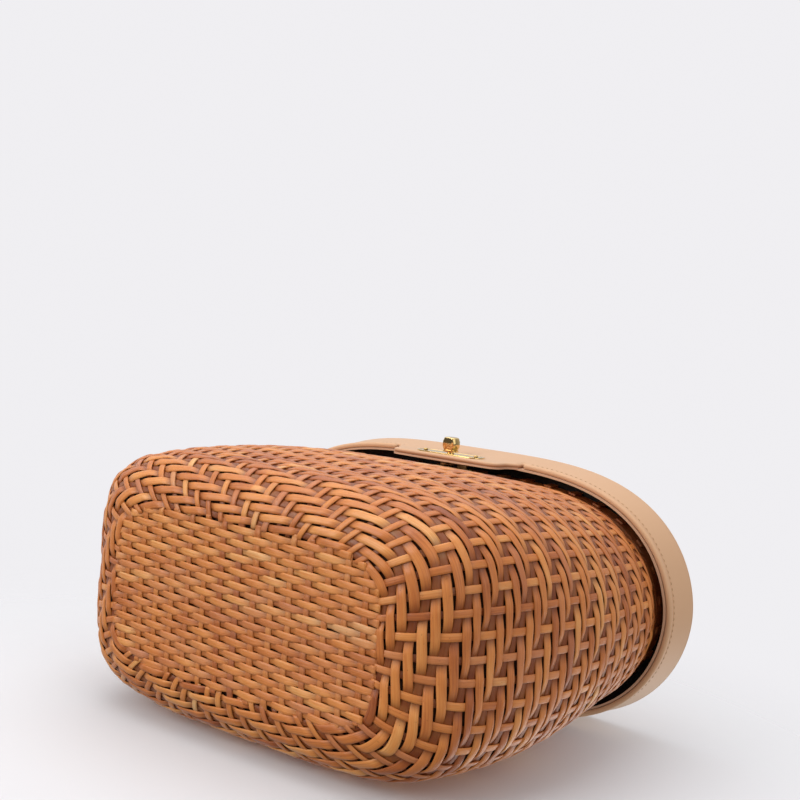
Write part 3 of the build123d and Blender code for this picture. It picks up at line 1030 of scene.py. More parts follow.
@dataclass
class WovenBasket:
    """Wall of a two-and-two twill, and a base panel of plain weave."""

    form: BasketForm = field(default_factory=BasketForm)
    wall_tones: ToneRange = ToneRange(0.5, 0.1, 0.12, 0.42, 0.14)
    border_tones: ToneRange = ToneRange(0.62, 0.1, 0.12, 0.25, 0.14)
    stake_tones: ToneRange = ToneRange(0.52, 0.13, 0.08, 0.45, 0.18)
    row_tones: ToneRange = ToneRange(0.60, 0.07, 0.09, 0.46, 0.16)
    panel_stake_tones: ToneRange = ToneRange(0.5, 0.14, 0.0, 0.55, 0.15)
    stakes: int = 64
    weft_pitch: float = 3.83
    weft_width: float = 3.55
    weft_thickness: float = 1.05
    weft_rise: float = 0.68
    weft_lean: float = 13.0
    weft_drift: float = 0.46
    weft_knee: float = 0.62
    weft_start: float = 2.1
    border_lean_share: float = 0.5
    border_wefts: int = 4
    stake_width: float = 3.5
    stake_thickness: float = 0.8
    stake_rise: float = 0.35
    stake_knee: float = 0.8
    stake_foot: float = -0.6
    stake_head_gap: float = 0.3
    collar_sink: float = 0.75
    middle_depth: float = 1.38
    samples: int = 7
    row_pitch: float = 3.15
    row_width: float = 3.5
    row_thickness: float = 0.8
    row_rise: float = 0.46
    row_drift: float = 0.17
    row_lean: float = 8.0
    row_knee: float = 0.8
    # Strength of the painted shade where base rows dive under stakes.
    row_painted_shade: float = 0.5
    shortest_row: int = 12
    panel_depth: float = 1.15
    panel_stake_pitch: float = 10.3
    panel_stake_rise: float = 0.3
    panel_stake_narrowing: float = 0.95
    shortest_panel_stake: float = 8.0
    # Depth and thickness of the dark sheet behind the weave, painted shade in its gaps.
    shade_sheet_depth: float = 3.08
    shade_sheet_thickness: float = 0.3
    lowest_travel: float = -9.0
    seed: int = 7

    def __post_init__(self) -> None:
        """Prepares the wall's table and the random draws."""
        levels = np.linspace(self.lowest_travel, self.form.profile_length, 260)
        self.wall = Surface(self.form.ring, levels)
        self.random = np.random.default_rng(self.seed)
        self.collar_travel = self.form.profile_length - self.form.collar_height
        panel_depth = self.form.base_half_depth - self.form.base_round
        self.row_count = int(2 * panel_depth / self.row_pitch)
        self.row_shift = (self.row_count - 1) / 2

    @staticmethod
    def section(width: float, thickness: float) -> Points:
        """Corners of a flat oval strip, along and out."""
        return np.array(STRIP_CORNERS) * (width / 2, thickness / 2)

    def leaning_section(
        self, width: Points, thickness: float, lean: Points
    ) -> Tuple[Points, Points]:
        """Corners of a strip whose width and lean change along it.

        Args:
            width: Width at each station.
            thickness: Thickness of the strip.
            lean: Turn of the strip at each station, in radians.

        Returns:
            Places along and places out, as stations by corners.
        """
        corners = self.section(1.0, thickness)
        along = corners[None, :, 0] * width[:, None]
        out = corners[None, :, 1]
        cos, sin = np.cos(lean)[:, None], np.sin(lean)[:, None]
        return along * cos - out * sin, along * sin + out * cos

    @staticmethod
    def plateau(wave: Points, knee: float) -> Points:
        """Wave with flat tops, steep between them."""
        return np.sin(np.pi / 2 * np.clip(wave / knee, -1, 1))

    def wander(self, places: Points, size: float, waves: Sequence[int]) -> Points:
        """Slow closed variation along a strand.

        Args:
            places: Place of each station, 1 for a whole turn.
            size: Size of the variation.
            waves: Whole waves in each turn.

        Returns:
            One value for each place.
        """
        total = np.zeros_like(places)
        for wave in waves:
            total += self.random.normal() * np.sin(
                2 * np.pi * (wave * places + self.random.random())
            )
        return size * total / math.sqrt(len(waves))

    def float_tones(self, kind: ToneRange, ids: Points) -> Points:
        """Tone of each station from the float it lies on.

        Args:
            kind: Tones of this kind of strand.
            ids: Number of the float under each station.

        Returns:
            One tone for each station.
        """
        base = self.random.normal(kind.tone, kind.spread)
        first = int(ids.min())
        draws = self.random.normal(size=int(ids.max()) - first + 1)
        return np.clip(base + kind.float_spread * draws[(ids - first).astype(int)], 0.0, 1.0)

    def weft_ring(self, batch: StrandBatch, number: int, travel: float) -> None:
        """Adds one weft strand round the wall.

        Args:
            batch: Mesh that the strand goes into.
            number: Number of the course, from the base up.
            travel: Place of the course up the wall.
        """
        count = self.stakes * self.samples
        share = np.arange(count) / count
        place = share * self.stakes + number
        phase = np.pi / 2 * (place - 3.5)
        lift = self.plateau(np.cos(phase), self.weft_knee)
        border = number < self.border_wefts
        width = self.weft_width * (1 + self.wander(share, 0.045, (3, 7, 11)))
        centre = travel + self.weft_drift * np.sin(phase) + self.wander(share, 0.16, (2, 5, 9, 17))
        lean_share = self.border_lean_share if border else 1.0
        lean = -math.radians(self.weft_lean * lean_share) * np.sin(phase)
        depth = -self.middle_depth + self.weft_rise * lift + self.wander(share, 0.07, (5, 13, 21))
        up, rise = self.leaning_section(width, self.weft_thickness, lean)
        level = centre[:, None] + up
        grid = self.wall.at(
            np.repeat(share, SIDES), level.ravel(), (depth[:, None] + rise).ravel()
        ).reshape(count, SIDES, 3)
        length = self.wall.length_at(travel)
        kind = self.border_tones if border else self.wall_tones
        tone = self.float_tones(kind, np.floor((place - 1.5) / 4))
        # Painted shade where the weft dives under the stakes.
        painted_shade = np.clip(0.5 - 0.5 * lift, 0, 1) ** 1.5
        shift = self.random.normal(kind.mauve, kind.mauve_spread)
        shift = np.clip(shift + self.wander(share, 0.1, (2, 5)), 0, 1)
        offset = self.random.random() * PATTERN_REACH
        batch.add(grid, share * length + offset, np.column_stack([tone, painted_shade, shift]), True)

    def wall_stake(self, batch: StrandBatch, number: int, low: float, high: float) -> None:
        """Adds one upright stake.

        Args:
            batch: Mesh that the strand goes into.
            number: Number of the stake round the wall.
            low: Place of its foot up the wall.
            high: Place of its head up the wall.
        """
        count = int((high - low) / self.weft_pitch * 3)
        travel = np.linspace(low, high, count)
        place = (travel - self.weft_start) / self.weft_pitch + number
        wave = np.cos(np.pi / 2 * (place - 1.5))
        rise = self.stake_rise * self.plateau(wave, self.stake_knee)
        depth = -self.middle_depth + rise + self.wander(travel / 190, 0.04, (3, 5))
        depth = depth - self.collar_sink * np.clip((travel - self.collar_travel) / 5, 0, 1)
        taper = np.interp(travel, [0, 20, 150, 190], [0.86, 1.0, 1.0, 0.86])
        width = self.stake_width * taper * (1 + self.random.normal(0, 0.05))
        corners = self.section(1.0, self.stake_thickness)
        lengths = np.array([self.wall.length_at(float(t)) for t in travel])
        side = corners[None, :, 0] * width[:, None] / lengths[:, None]
        wobble = self.wander(travel / 190, 0.25, (1, 2)) / lengths
        share = number / self.stakes + wobble[:, None] - side
        grid = self.wall.at(
            share.ravel(),
            np.repeat(travel, SIDES),
            (depth[:, None] + corners[None, :, 1]).ravel(),
        ).reshape(count, SIDES, 3)
        kind = self.stake_tones
        tone = self.float_tones(kind, np.floor((place - 3.5) / 4))
        # Painted shade where the stake dives under the wefts.
        painted_shade = np.clip(0.5 - 0.62 * wave, 0, 1) ** 1.2
        shift = np.full(count, np.clip(self.random.normal(kind.mauve, kind.mauve_spread), 0, 1))
        offset = self.random.random() * PATTERN_REACH
        batch.add(grid, travel + offset, np.column_stack([tone, painted_shade, shift]), False)

    def panel_limit(self, across: Points, along_x: bool, margin: float) -> Points:
        """Half length of the base panel at a distance from its middle line.

        Args:
            across: Distance from the middle line.
            along_x: True for the length along X, False along Y.
            margin: Reach past the panel's edge.

        Returns:
            Half length at each distance.
        """
        width = self.form.base_half_width - self.form.base_round + margin
        depth = self.form.base_half_depth - self.form.base_round + margin
        if along_x:
            rest = np.maximum(0, 1 - np.abs(across / depth) ** self.form.base_side_power)
            return width * rest ** (1 / self.form.end_power)
        rest = np.maximum(0, 1 - np.abs(across / width) ** self.form.end_power)
        return depth * rest ** (1 / self.form.base_side_power)

    def panel_row(self, batch: StrandBatch, number: int, y: float) -> None:
        """Adds one strand along X under the base.

        Args:
            batch: Mesh that the strand goes into.
            number: Number of the row.
            y: Place of the row along Y.
        """
        reach = float(self.panel_limit(np.array([y]), True, 1.2)[0])
        count = int(2 * reach / self.panel_stake_pitch * self.samples)
        if count < self.shortest_row:
            return
        x = np.linspace(-reach, reach, count)
        phase = np.pi * (x / self.panel_stake_pitch + number)
        lift = self.plateau(np.cos(phase), self.row_knee)
        drift = self.row_drift * np.sin(phase) + self.wander(x / 160, 0.12, (1, 3, 7))
        lean = math.radians(self.row_lean) * np.sin(phase)
        width = self.row_width * (1 + self.wander(x / 160, 0.05, (2, 5, 9)))
        width = width * (0.92 + 0.08 * lift)
        side, down = self.leaning_section(width, self.row_thickness, lean)
        depth = self.panel_depth - self.row_rise * lift
        grid = np.stack([
            np.repeat(x[:, None], SIDES, axis=1),
            y + drift[:, None] + side,
            depth[:, None] - down,
        ], axis=-1)
        kind = self.row_tones
        tone = self.float_tones(
            kind, np.floor(x / self.panel_stake_pitch / 2 + number / 2 + 0.5)
        )
        # Painted shade where the row dives under the base stakes.
        painted_shade = self.row_painted_shade * np.clip(0.5 - 0.5 * lift, 0, 1) ** 1.3
        shift = self.random.normal(kind.mauve, kind.mauve_spread)
        shift = np.clip(shift + self.wander(x / 160, 0.1, (1, 3)), 0, 1)
        offset = self.random.random() * PATTERN_REACH
        batch.add(grid, x + offset, np.column_stack([tone, painted_shade, shift]), False)

    def panel_stake(self, batch: StrandBatch, number: int, x: float) -> None:
        """Adds one strand along Y under the base.

        Args:
            batch: Mesh that the strand goes into.
            number: Number of the stake from the middle.
            x: Place of the stake along X.
        """
        reach = float(self.panel_limit(np.array([x]), False, 1.5)[0])
        if reach < self.shortest_panel_stake:
            return
        count = int(2 * reach / self.row_pitch * 4)
        y = np.linspace(-reach, reach, count)
        wave = np.cos(np.pi * (y / self.row_pitch + self.row_shift + number))
        depth = self.panel_depth + self.panel_stake_rise * wave
        width = self.stake_width * self.panel_stake_narrowing * (1 + self.random.normal(0, 0.05))
        corners = self.section(width, self.stake_thickness)
        sway = self.wander(y / 80, 0.2, (1, 2))
        grid = np.stack([
            x + sway[:, None] + corners[None, :, 0] + np.zeros((count, 1)),
            np.repeat(y[:, None], SIDES, axis=1),
            depth[:, None] - corners[None, :, 1],
        ], axis=-1)
        grid = grid[::-1]
        kind = self.panel_stake_tones
        tone = np.full(count, np.clip(self.random.normal(kind.tone, kind.spread), 0, 1))
        # Even painted shade on the base stakes, which show only between the rows.
        painted_shade = np.full(count, 0.25)
        shift = np.full(count, np.clip(self.random.normal(kind.mauve, kind.mauve_spread), 0, 1))
        offset = self.random.random() * PATTERN_REACH
        batch.add(grid, y + offset, np.column_stack([tone, painted_shade, shift]), False)

    def shade_sheet(self) -> bpy.types.Object:
        """Builds the thin dark sheet behind the weave, painted shade seen through its gaps.

        Returns:
            The new object.
        """
        travels = np.concatenate([
            [self.lowest_travel, 0.0], np.linspace(4, self.form.quarter_turn, 7),
            np.linspace(self.form.quarter_turn + 12, self.form.profile_length - 1.5, 12),
        ])
        count = 144
        share = np.arange(count) / count
        rings = [
            self.wall.at(share, np.full(count, travel), np.full(count, -self.shade_sheet_depth))
            for travel in travels
        ]
        piece = mesh_piece("inner_shade_sheet", np.vstack(rings), ring_faces(len(rings), count))
        wall = piece.modifiers.new("thickness", "SOLIDIFY")
        wall.thickness = self.shade_sheet_thickness * MM
        wall.offset = -1.0
        apply_all(piece)
        return piece

    def build(self, palette: Palette) -> List[bpy.types.Object]:
        """Builds the wall's wefts and stakes and the base panel.

        Args:
            palette: Finishes to use.

        Returns:
            The pieces made.
        """
        wefts = int((self.collar_travel - self.weft_start) / self.weft_pitch) + 1
        thirds = ["lower", "middle", "upper"]
        batches = [StrandBatch(f"wall_wefts_{part}") for part in thirds]
        for number in range(wefts):
            batch = batches[min(2, number * 3 // wefts)]
            self.weft_ring(batch, number, self.weft_start + number * self.weft_pitch)
        stakes = StrandBatch("wall_stakes")
        for number in range(self.stakes):
            head = self.form.profile_length - self.stake_head_gap
            self.wall_stake(stakes, number, self.stake_foot, head)
        rows = StrandBatch("base_rows")
        columns = StrandBatch("base_stakes")
        for number in range(self.row_count):
            self.panel_row(rows, number, (number - self.row_shift) * self.row_pitch)
        half = int((self.form.base_half_width - self.form.base_round) / self.panel_stake_pitch)
        for number in range(-half, half + 1):
            self.panel_stake(columns, number, number * self.panel_stake_pitch)
        pieces = []
        for batch in batches + [stakes, rows, columns]:
            piece = batch.finish()
            dress(piece, palette.cane)
            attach(piece, "basket")
            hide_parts("woven_basket")
            pieces.append(piece)
        # Dark sheet behind the weave: painted shade seen through its gaps.
        shade_sheet = self.shade_sheet()
        dress(shade_sheet, palette.shade_sheet)
        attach(shade_sheet, "basket")
        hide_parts("woven_basket")
        pieces.append(shade_sheet)
        return pieces


# Stitches


@dataclass
class StitchRow:
    """Thread stitches laid along a line of points."""

    name: str
    pitch: float = 2.9
    length: float = 1.9
    radius: float = 0.19
    shares: Tuple[float, ...] = (-0.5, -0.4, -0.15, 0.15, 0.4, 0.5)
    lifts: Tuple[float, ...] = (-0.35, -0.05, 0.06, 0.06, -0.05, -0.35)
    swells: Tuple[float, ...] = (0.35, 0.85, 1.0, 1.0, 0.85, 0.35)

    def build(self, lines: Sequence[Tuple[Points, Points]]) -> bpy.types.Object:
        """Builds every stitch of the row.

        Args:
            lines: For each line, its points in millimetres and the normals there.

        Returns:
            One mesh of all stitches.
        """
        batch = StrandBatch(self.name)
        turns = np.linspace(0, 2 * math.pi, 6, endpoint=False)
        for points, normals in lines:
            along = way_along(points)
            count = int(along[-1] / self.pitch)
            for number in range(count):
                middle = (number + 0.5) * along[-1] / count
                places = middle + self.length * np.array(self.shares)
                sinks = np.array(self.lifts)
                sizes = np.array(self.swells) * self.radius
                here = read_line(places, along, points)
                up = read_line(places, along, normals)
                up /= np.linalg.norm(up, axis=1, keepdims=True)
                ahead = here[-1] - here[0]
                side = np.cross(up, ahead / np.linalg.norm(ahead))
                round_it = (
                    np.cos(turns)[None, :, None] * side[:, None, :]
                    + np.sin(turns)[None, :, None] * up[:, None, :]
                )
                grid = here[:, None, :] + up[:, None, :] * sinks[:, None, None]
                grid = grid + round_it * sizes[:, None, None]
                batch.add(grid, places, np.zeros((len(places), 3)), False)
        return batch.finish()


# Lid


@dataclass
class LeatherLid:
    """Skirt and flap in one leather, a rolled welt, a cover and their stitches."""

    form: LidForm = field(default_factory=LidForm)
    flap_drop: float = 15.2
    flap_bottom: float = 35.0
    flap_top: float = 40.0
    corner_radius: float = 6.5
    hip_radius: float = 5.0
    strap_half_width: float = 45.6
    edge_step: float = 0.8
    wall_step: float = 2.4
    stitch_lift: float = 1.1
    groove_depth: float = 0.16
    groove_width: float = 0.7
    outer_rim: Tuple[Tuple[float, float], ...] = (
        (0.12, -0.62), (0.42, -0.25), (0.95, -0.05), (1.7, 0.0), (2.8, 0.0),
    )
    inner_rim: Tuple[Tuple[float, float], ...] = ((0.12, 0.55), (0.5, 0.15), (1.5, 0.0))
    join_shares: Tuple[float, ...] = (0.12, 0.3, 0.5, 0.75, 1.0)
    skirt_heights: Tuple[float, ...] = (181.0, 186.0, 189.0, 189.65)
    lip_height: float = 189.75
    burnt_outer: Tuple[float, ...] = (0.75, 0.35, 0.15, 0.06, 0.02)
    burnt_inner: Tuple[float, ...] = (0.2, 0.6, 0.9)
    welt_depth: float = 1.42
    welt_middle: float = 2.48
    welt_corners: int = 14
    cover_profile: Tuple[Tuple[float, float], ...] = (
        (189.8, 1.2), (189.8, 3.1), (190.0, 3.34), (190.45, 3.42), (190.95, 3.2), (191.3, 2.7),
        (191.5, 2.0), (191.55, 1.0), (191.56, -0.6), (191.45, -1.1), (191.56, -1.6), (191.6, -3.0),
    )
    cover_rings: Tuple[float, ...] = (0.97, 0.92, 0.85, 0.75, 0.6, 0.42, 0.22)
    crown: float = 0.35
    cover_points: int = 288
    top_stitch_height: float = 191.5
    top_stitch_out: float = -1.1

    def __post_init__(self) -> None:
        """Prepares the lid's table."""
        levels = np.linspace(self.form.lowest, self.form.lid_top + 0.5, 86)
        self.surface = Surface(self.form.ring, levels)
        self.around = self.surface.length_at(self.form.lid_line)
        self.welt_top = self.form.lid_line + self.form.welt_height

    def place(self, travel: Points, height: Points, out: Points) -> Points:
        """Points at a way round from the front's middle, a height and a depth."""
        return self.surface.at(travel / self.around, height, out)

    def normals(self, travel: Points, height: Points) -> Points:
        """Outward normals over the skirt."""
        flat = np.zeros_like(travel)
        return self.place(travel, height, flat + 1) - self.place(travel, height, flat)

    @staticmethod
    def rounded(corners: Sequence[Tuple[float, float, float]]) -> Points:
        """Polyline whose corners are rounded, each given as place, height and radius.

        Args:
            corners: Place, height and radius of each corner.

        Returns:
            Points of the rounded line.
        """
        points = [np.array(corners[0][:2])]
        for before, here, after in zip(corners, corners[1:], corners[2:]):
            corner, radius = np.array(here[:2]), here[2]
            back = np.array(before[:2]) - corner
            ahead = np.array(after[:2]) - corner
            back, ahead = back / np.linalg.norm(back), ahead / np.linalg.norm(ahead)
            half = math.acos(float(np.clip(back @ ahead, -1, 1))) / 2
            cut = radius / math.tan(half)
            first, last = corner + back * cut, corner + ahead * cut
            middle = back + ahead
            centre = corner + middle / np.linalg.norm(middle) * radius / math.sin(half)
            start = math.atan2(*(first - centre)[::-1])
            sweep = math.atan2(*(last - centre)[::-1]) - start
            sweep = (sweep + math.pi) % (2 * math.pi) - math.pi
            for turn in np.linspace(start, start + sweep, 12):
                points.append(centre + radius * np.array([math.cos(turn), math.sin(turn)]))
        points.append(np.array(corners[-1][:2]))
        return np.array(points)

    @staticmethod
    def even(points: Points, step: float) -> Points:
        """Polyline sampled again at an even step.

        Args:
            points: Points of the line.
            step: Distance between the new points.

        Returns:
            The new points.
        """
        along = way_along(points)
        places = np.linspace(0, along[-1], max(2, int(along[-1] / step) + 1))
        return read_line(places, along, points)

    def lower_edge(self) -> Tuple[Points, Points]:
        """Lower edge of the leather round the whole lid.

        Returns:
            Way round and height of each point, and the way round of the column above it.
        """
        line, low = self.form.lid_line, self.form.lid_line - self.flap_drop
        hip = low + self.flap_drop - (self.flap_top - self.flap_bottom)
        top = self.welt_top - 0.15
        flap = self.even(self.rounded([
            (0.0, low, 0.0), (self.flap_bottom, low, self.corner_radius),
            (self.flap_bottom, hip, self.hip_radius), (self.flap_top, line, 1.4),
            (self.flap_top + 0.6, top, 1.2), (self.flap_top + 6.0, top, 0.0),
        ]), self.edge_step)
        spread = np.linspace(0, flap[-1, 0], len(flap))
        half = self.around / 2
        back = self.even(self.rounded([
            (half - self.strap_half_width - 6.0, top, 0.0), (half - self.strap_half_width, top, 1.2),
            (half - self.strap_half_width, line + 0.1, 1.2), (half, line + 0.1, 0.0),
        ]), self.edge_step)
        side = self.even(np.array([flap[-1], back[0]]), self.wall_step)[1:-1]
        edge = np.vstack([flap, side, back])
        above = np.concatenate([spread, side[:, 0], np.linspace(back[0, 0], half, len(back))])
        mirror = edge[1:-1][::-1] * (-1, 1) + (self.around, 0)
        return np.vstack([edge, mirror]), np.concatenate([above, self.around - above[1:-1][::-1]])

    def leather(self) -> bpy.types.Object:
        """Builds the skirt and the flap as one piece with rounded edges.

        Returns:
            The new object.
        """
        edge, above = self.lower_edge()
        along = np.roll(edge, -1, axis=0) - np.roll(edge, 1, axis=0)
        along[0] += (self.around, 0)
        along[-1] += (self.around, 0)
        along /= np.linalg.norm(along, axis=1, keepdims=True)
        inward = np.column_stack([-along[:, 1], along[:, 0]])
        join = np.column_stack([above, np.full(len(above), self.welt_top + 5.0)])
        outer, inner = self.form.outer, self.form.lining + 0.05
        rims = {
            Face.OUTER: [(inset, outer + step) for inset, step in self.outer_rim],
            Face.INNER: [(inset, inner + step) for inset, step in self.inner_rim],
        }
        rows: List[Tuple[Points, float]] = [(edge, (outer + inner) / 2)]
        for inset, out in rims[Face.OUTER]:
            rows.append((edge + inward * inset, out))
        last = rows[-1][0]
        for share in self.join_shares:
            rows.append((last * (1 - share) + join * share, outer))
        for height in self.skirt_heights:
            rows.append((np.column_stack([above, np.full(len(above), height)]), outer))
        lip = np.column_stack([above, np.full(len(above), self.lip_height)])
        rows.append((lip, outer - 0.12))
        rows.append((lip, inner))
        rows.append((join, inner))
        for inset, out in reversed(rims[Face.INNER]):
            rows.append((edge + inward * inset, out))
        seat = self.welt_top + self.stitch_lift
        plain = len(rows) - len(self.burnt_outer) - len(self.burnt_inner)
        burnt = self.burnt_outer + (0.0,) * plain + self.burnt_inner
        masks = np.zeros((len(edge), len(rows), 3))
        masks[:, :, 1] = np.array(burnt)[None, :]
        grid = []
        for spots, out in rows:
            depth = np.full(len(spots), out)
            if out == outer:
                groove = np.exp(-(((spots[:, 1] - seat) / self.groove_width) ** 2))
                welted = edge[:, 1] > self.form.lid_line + 2.5
                depth = depth - self.groove_depth * groove * welted
            grid.append(self.place(spots[:, 0], spots[:, 1], depth))
        stations = np.stack(grid, axis=1)
        batch = StrandBatch("lid_leather")
        batch.add(stations[:, ::-1], edge[:, 0], masks[:, ::-1], True)
        return batch.finish()

    def welt(self) -> bpy.types.Object:
        """Builds the rolled welt, open at the flap and the strap.

        Returns:
            The new object.
        """
        batch = StrandBatch("rolled_welt")
        corners = self.welt_corners
        turns = np.linspace(0, 2 * math.pi, corners, endpoint=False)
        tall = self.form.welt_height / 2
        middle = self.form.lid_line + tall
        start, end = self.flap_top + 1.9, self.around / 2 - self.strap_half_width + 0.4
        run = self.even(np.array([[start, 0.0], [end, 0.0]]), 1.8)[:, 0]
        run = np.sort(np.concatenate([run, [start + 0.3, start + 0.9, end - 0.3, end - 0.9]]))
        ends = np.minimum(run - start, end - run)
        scale = np.sqrt(np.clip(1 - np.clip(1 - ends / 1.6, 0, 1) ** 2, 0.06, 1))
        for travel in (run, self.around - run[::-1]):
            size = scale if travel is run else scale[::-1]
            power = 0.8
            up = np.sign(np.sin(turns)) * np.abs(np.sin(turns)) ** power
            out = np.sign(np.cos(turns)) * np.abs(np.cos(turns)) ** power
            height = middle + tall * size[:, None] * up[None, :]
            depth = self.welt_middle + self.welt_depth * size[:, None] * out[None, :]
            place = np.repeat(travel[:, None], corners, axis=1)
            grid = self.place(place.ravel(), height.ravel(), depth.ravel())
            grid = grid.reshape(len(travel), corners, 3)
            batch.add(grid, travel, np.zeros((len(travel), 3)), False)
        return batch.finish()

    def cover(self) -> bpy.types.Object:
        """Builds the leather top with its rounded shoulder and stitched border.

        Returns:
            The new object.
        """
        count = self.cover_points
        share = np.arange(count) / count
        rings = [
            self.surface.at(share, np.full(count, min(height, 191.9)), np.full(count, out))
            for height, out in self.cover_profile
        ]
        last = rings[-1]
        edge_height = self.cover_profile[-1][0]
        centre = np.array([0.0, self.form.setback, edge_height + self.crown])
        for part in self.cover_rings:
            ring = centre + (last - centre) * part
            ring[:, 2] = edge_height + self.crown * (1 - part ** 2)
            rings.append(ring)
        points = np.vstack(rings + [centre[None, :]])
        tip = len(points) - 1
        rim = np.arange(tip - count, tip)
        fan = [[a, b, tip] for a, b in zip(rim, np.roll(rim, -1))]
        return mesh_piece("top_leather", points, ring_faces(len(rings), count) + fan)

    def skirt_stitches(self) -> bpy.types.Object:
        """Builds the stitches just above the welt.

        Returns:
            The new object.
        """
        height = self.welt_top + self.stitch_lift
        lines = []
        start, end = self.flap_top + 4.0, self.around / 2 - self.strap_half_width - 1.0
        for low, high in ((start, end), (self.around - end, self.around - start)):
            travel = np.linspace(low, high, 400)
            level = np.full(400, height)
            spots = self.place(travel, level, np.full(400, self.form.outer - 0.1))
            lines.append((spots, self.normals(travel, level)))
        return StitchRow("skirt_stitches").build(lines)

    def cover_stitches(self) -> bpy.types.Object:
        """Builds the stitches round the top.

        Returns:
            The new object.
        """
        share = np.linspace(0, 1, 900)
        height = np.full(len(share), self.top_stitch_height)
        spots = self.surface.at(share, height, np.full(len(share), self.top_stitch_out))
        spots[:, 2] = self.top_stitch_height
        upward = np.tile([0.0, 0.0, 1.0], (len(share), 1))
        return StitchRow("top_stitches", pitch=3.4, length=2.4).build([(spots, upward)])

    def build(self, palette: Palette) -> List[bpy.types.Object]:
        """Builds and dresses the lid's leather.

        Args:
            palette: Finishes to use.

        Returns:
            The pieces made.
        """
        plan = [
            (self.leather(), palette.leather, ("lid_skirt", "flap_leather")),
            (self.welt(), palette.leather, ("edge_welt",)),
            (self.cover(), palette.leather, ("lid_cover",)),
            (self.skirt_stitches(), palette.thread, ("edge_welt",)),
            (self.cover_stitches(), palette.thread, ("lid_cover",)),
        ]
        for piece, material, nodes in plan:
            dress(piece, material)
            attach(piece, "lid")
            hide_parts(*nodes)
        return [piece for piece, _, _ in plan]


# Hinge strap


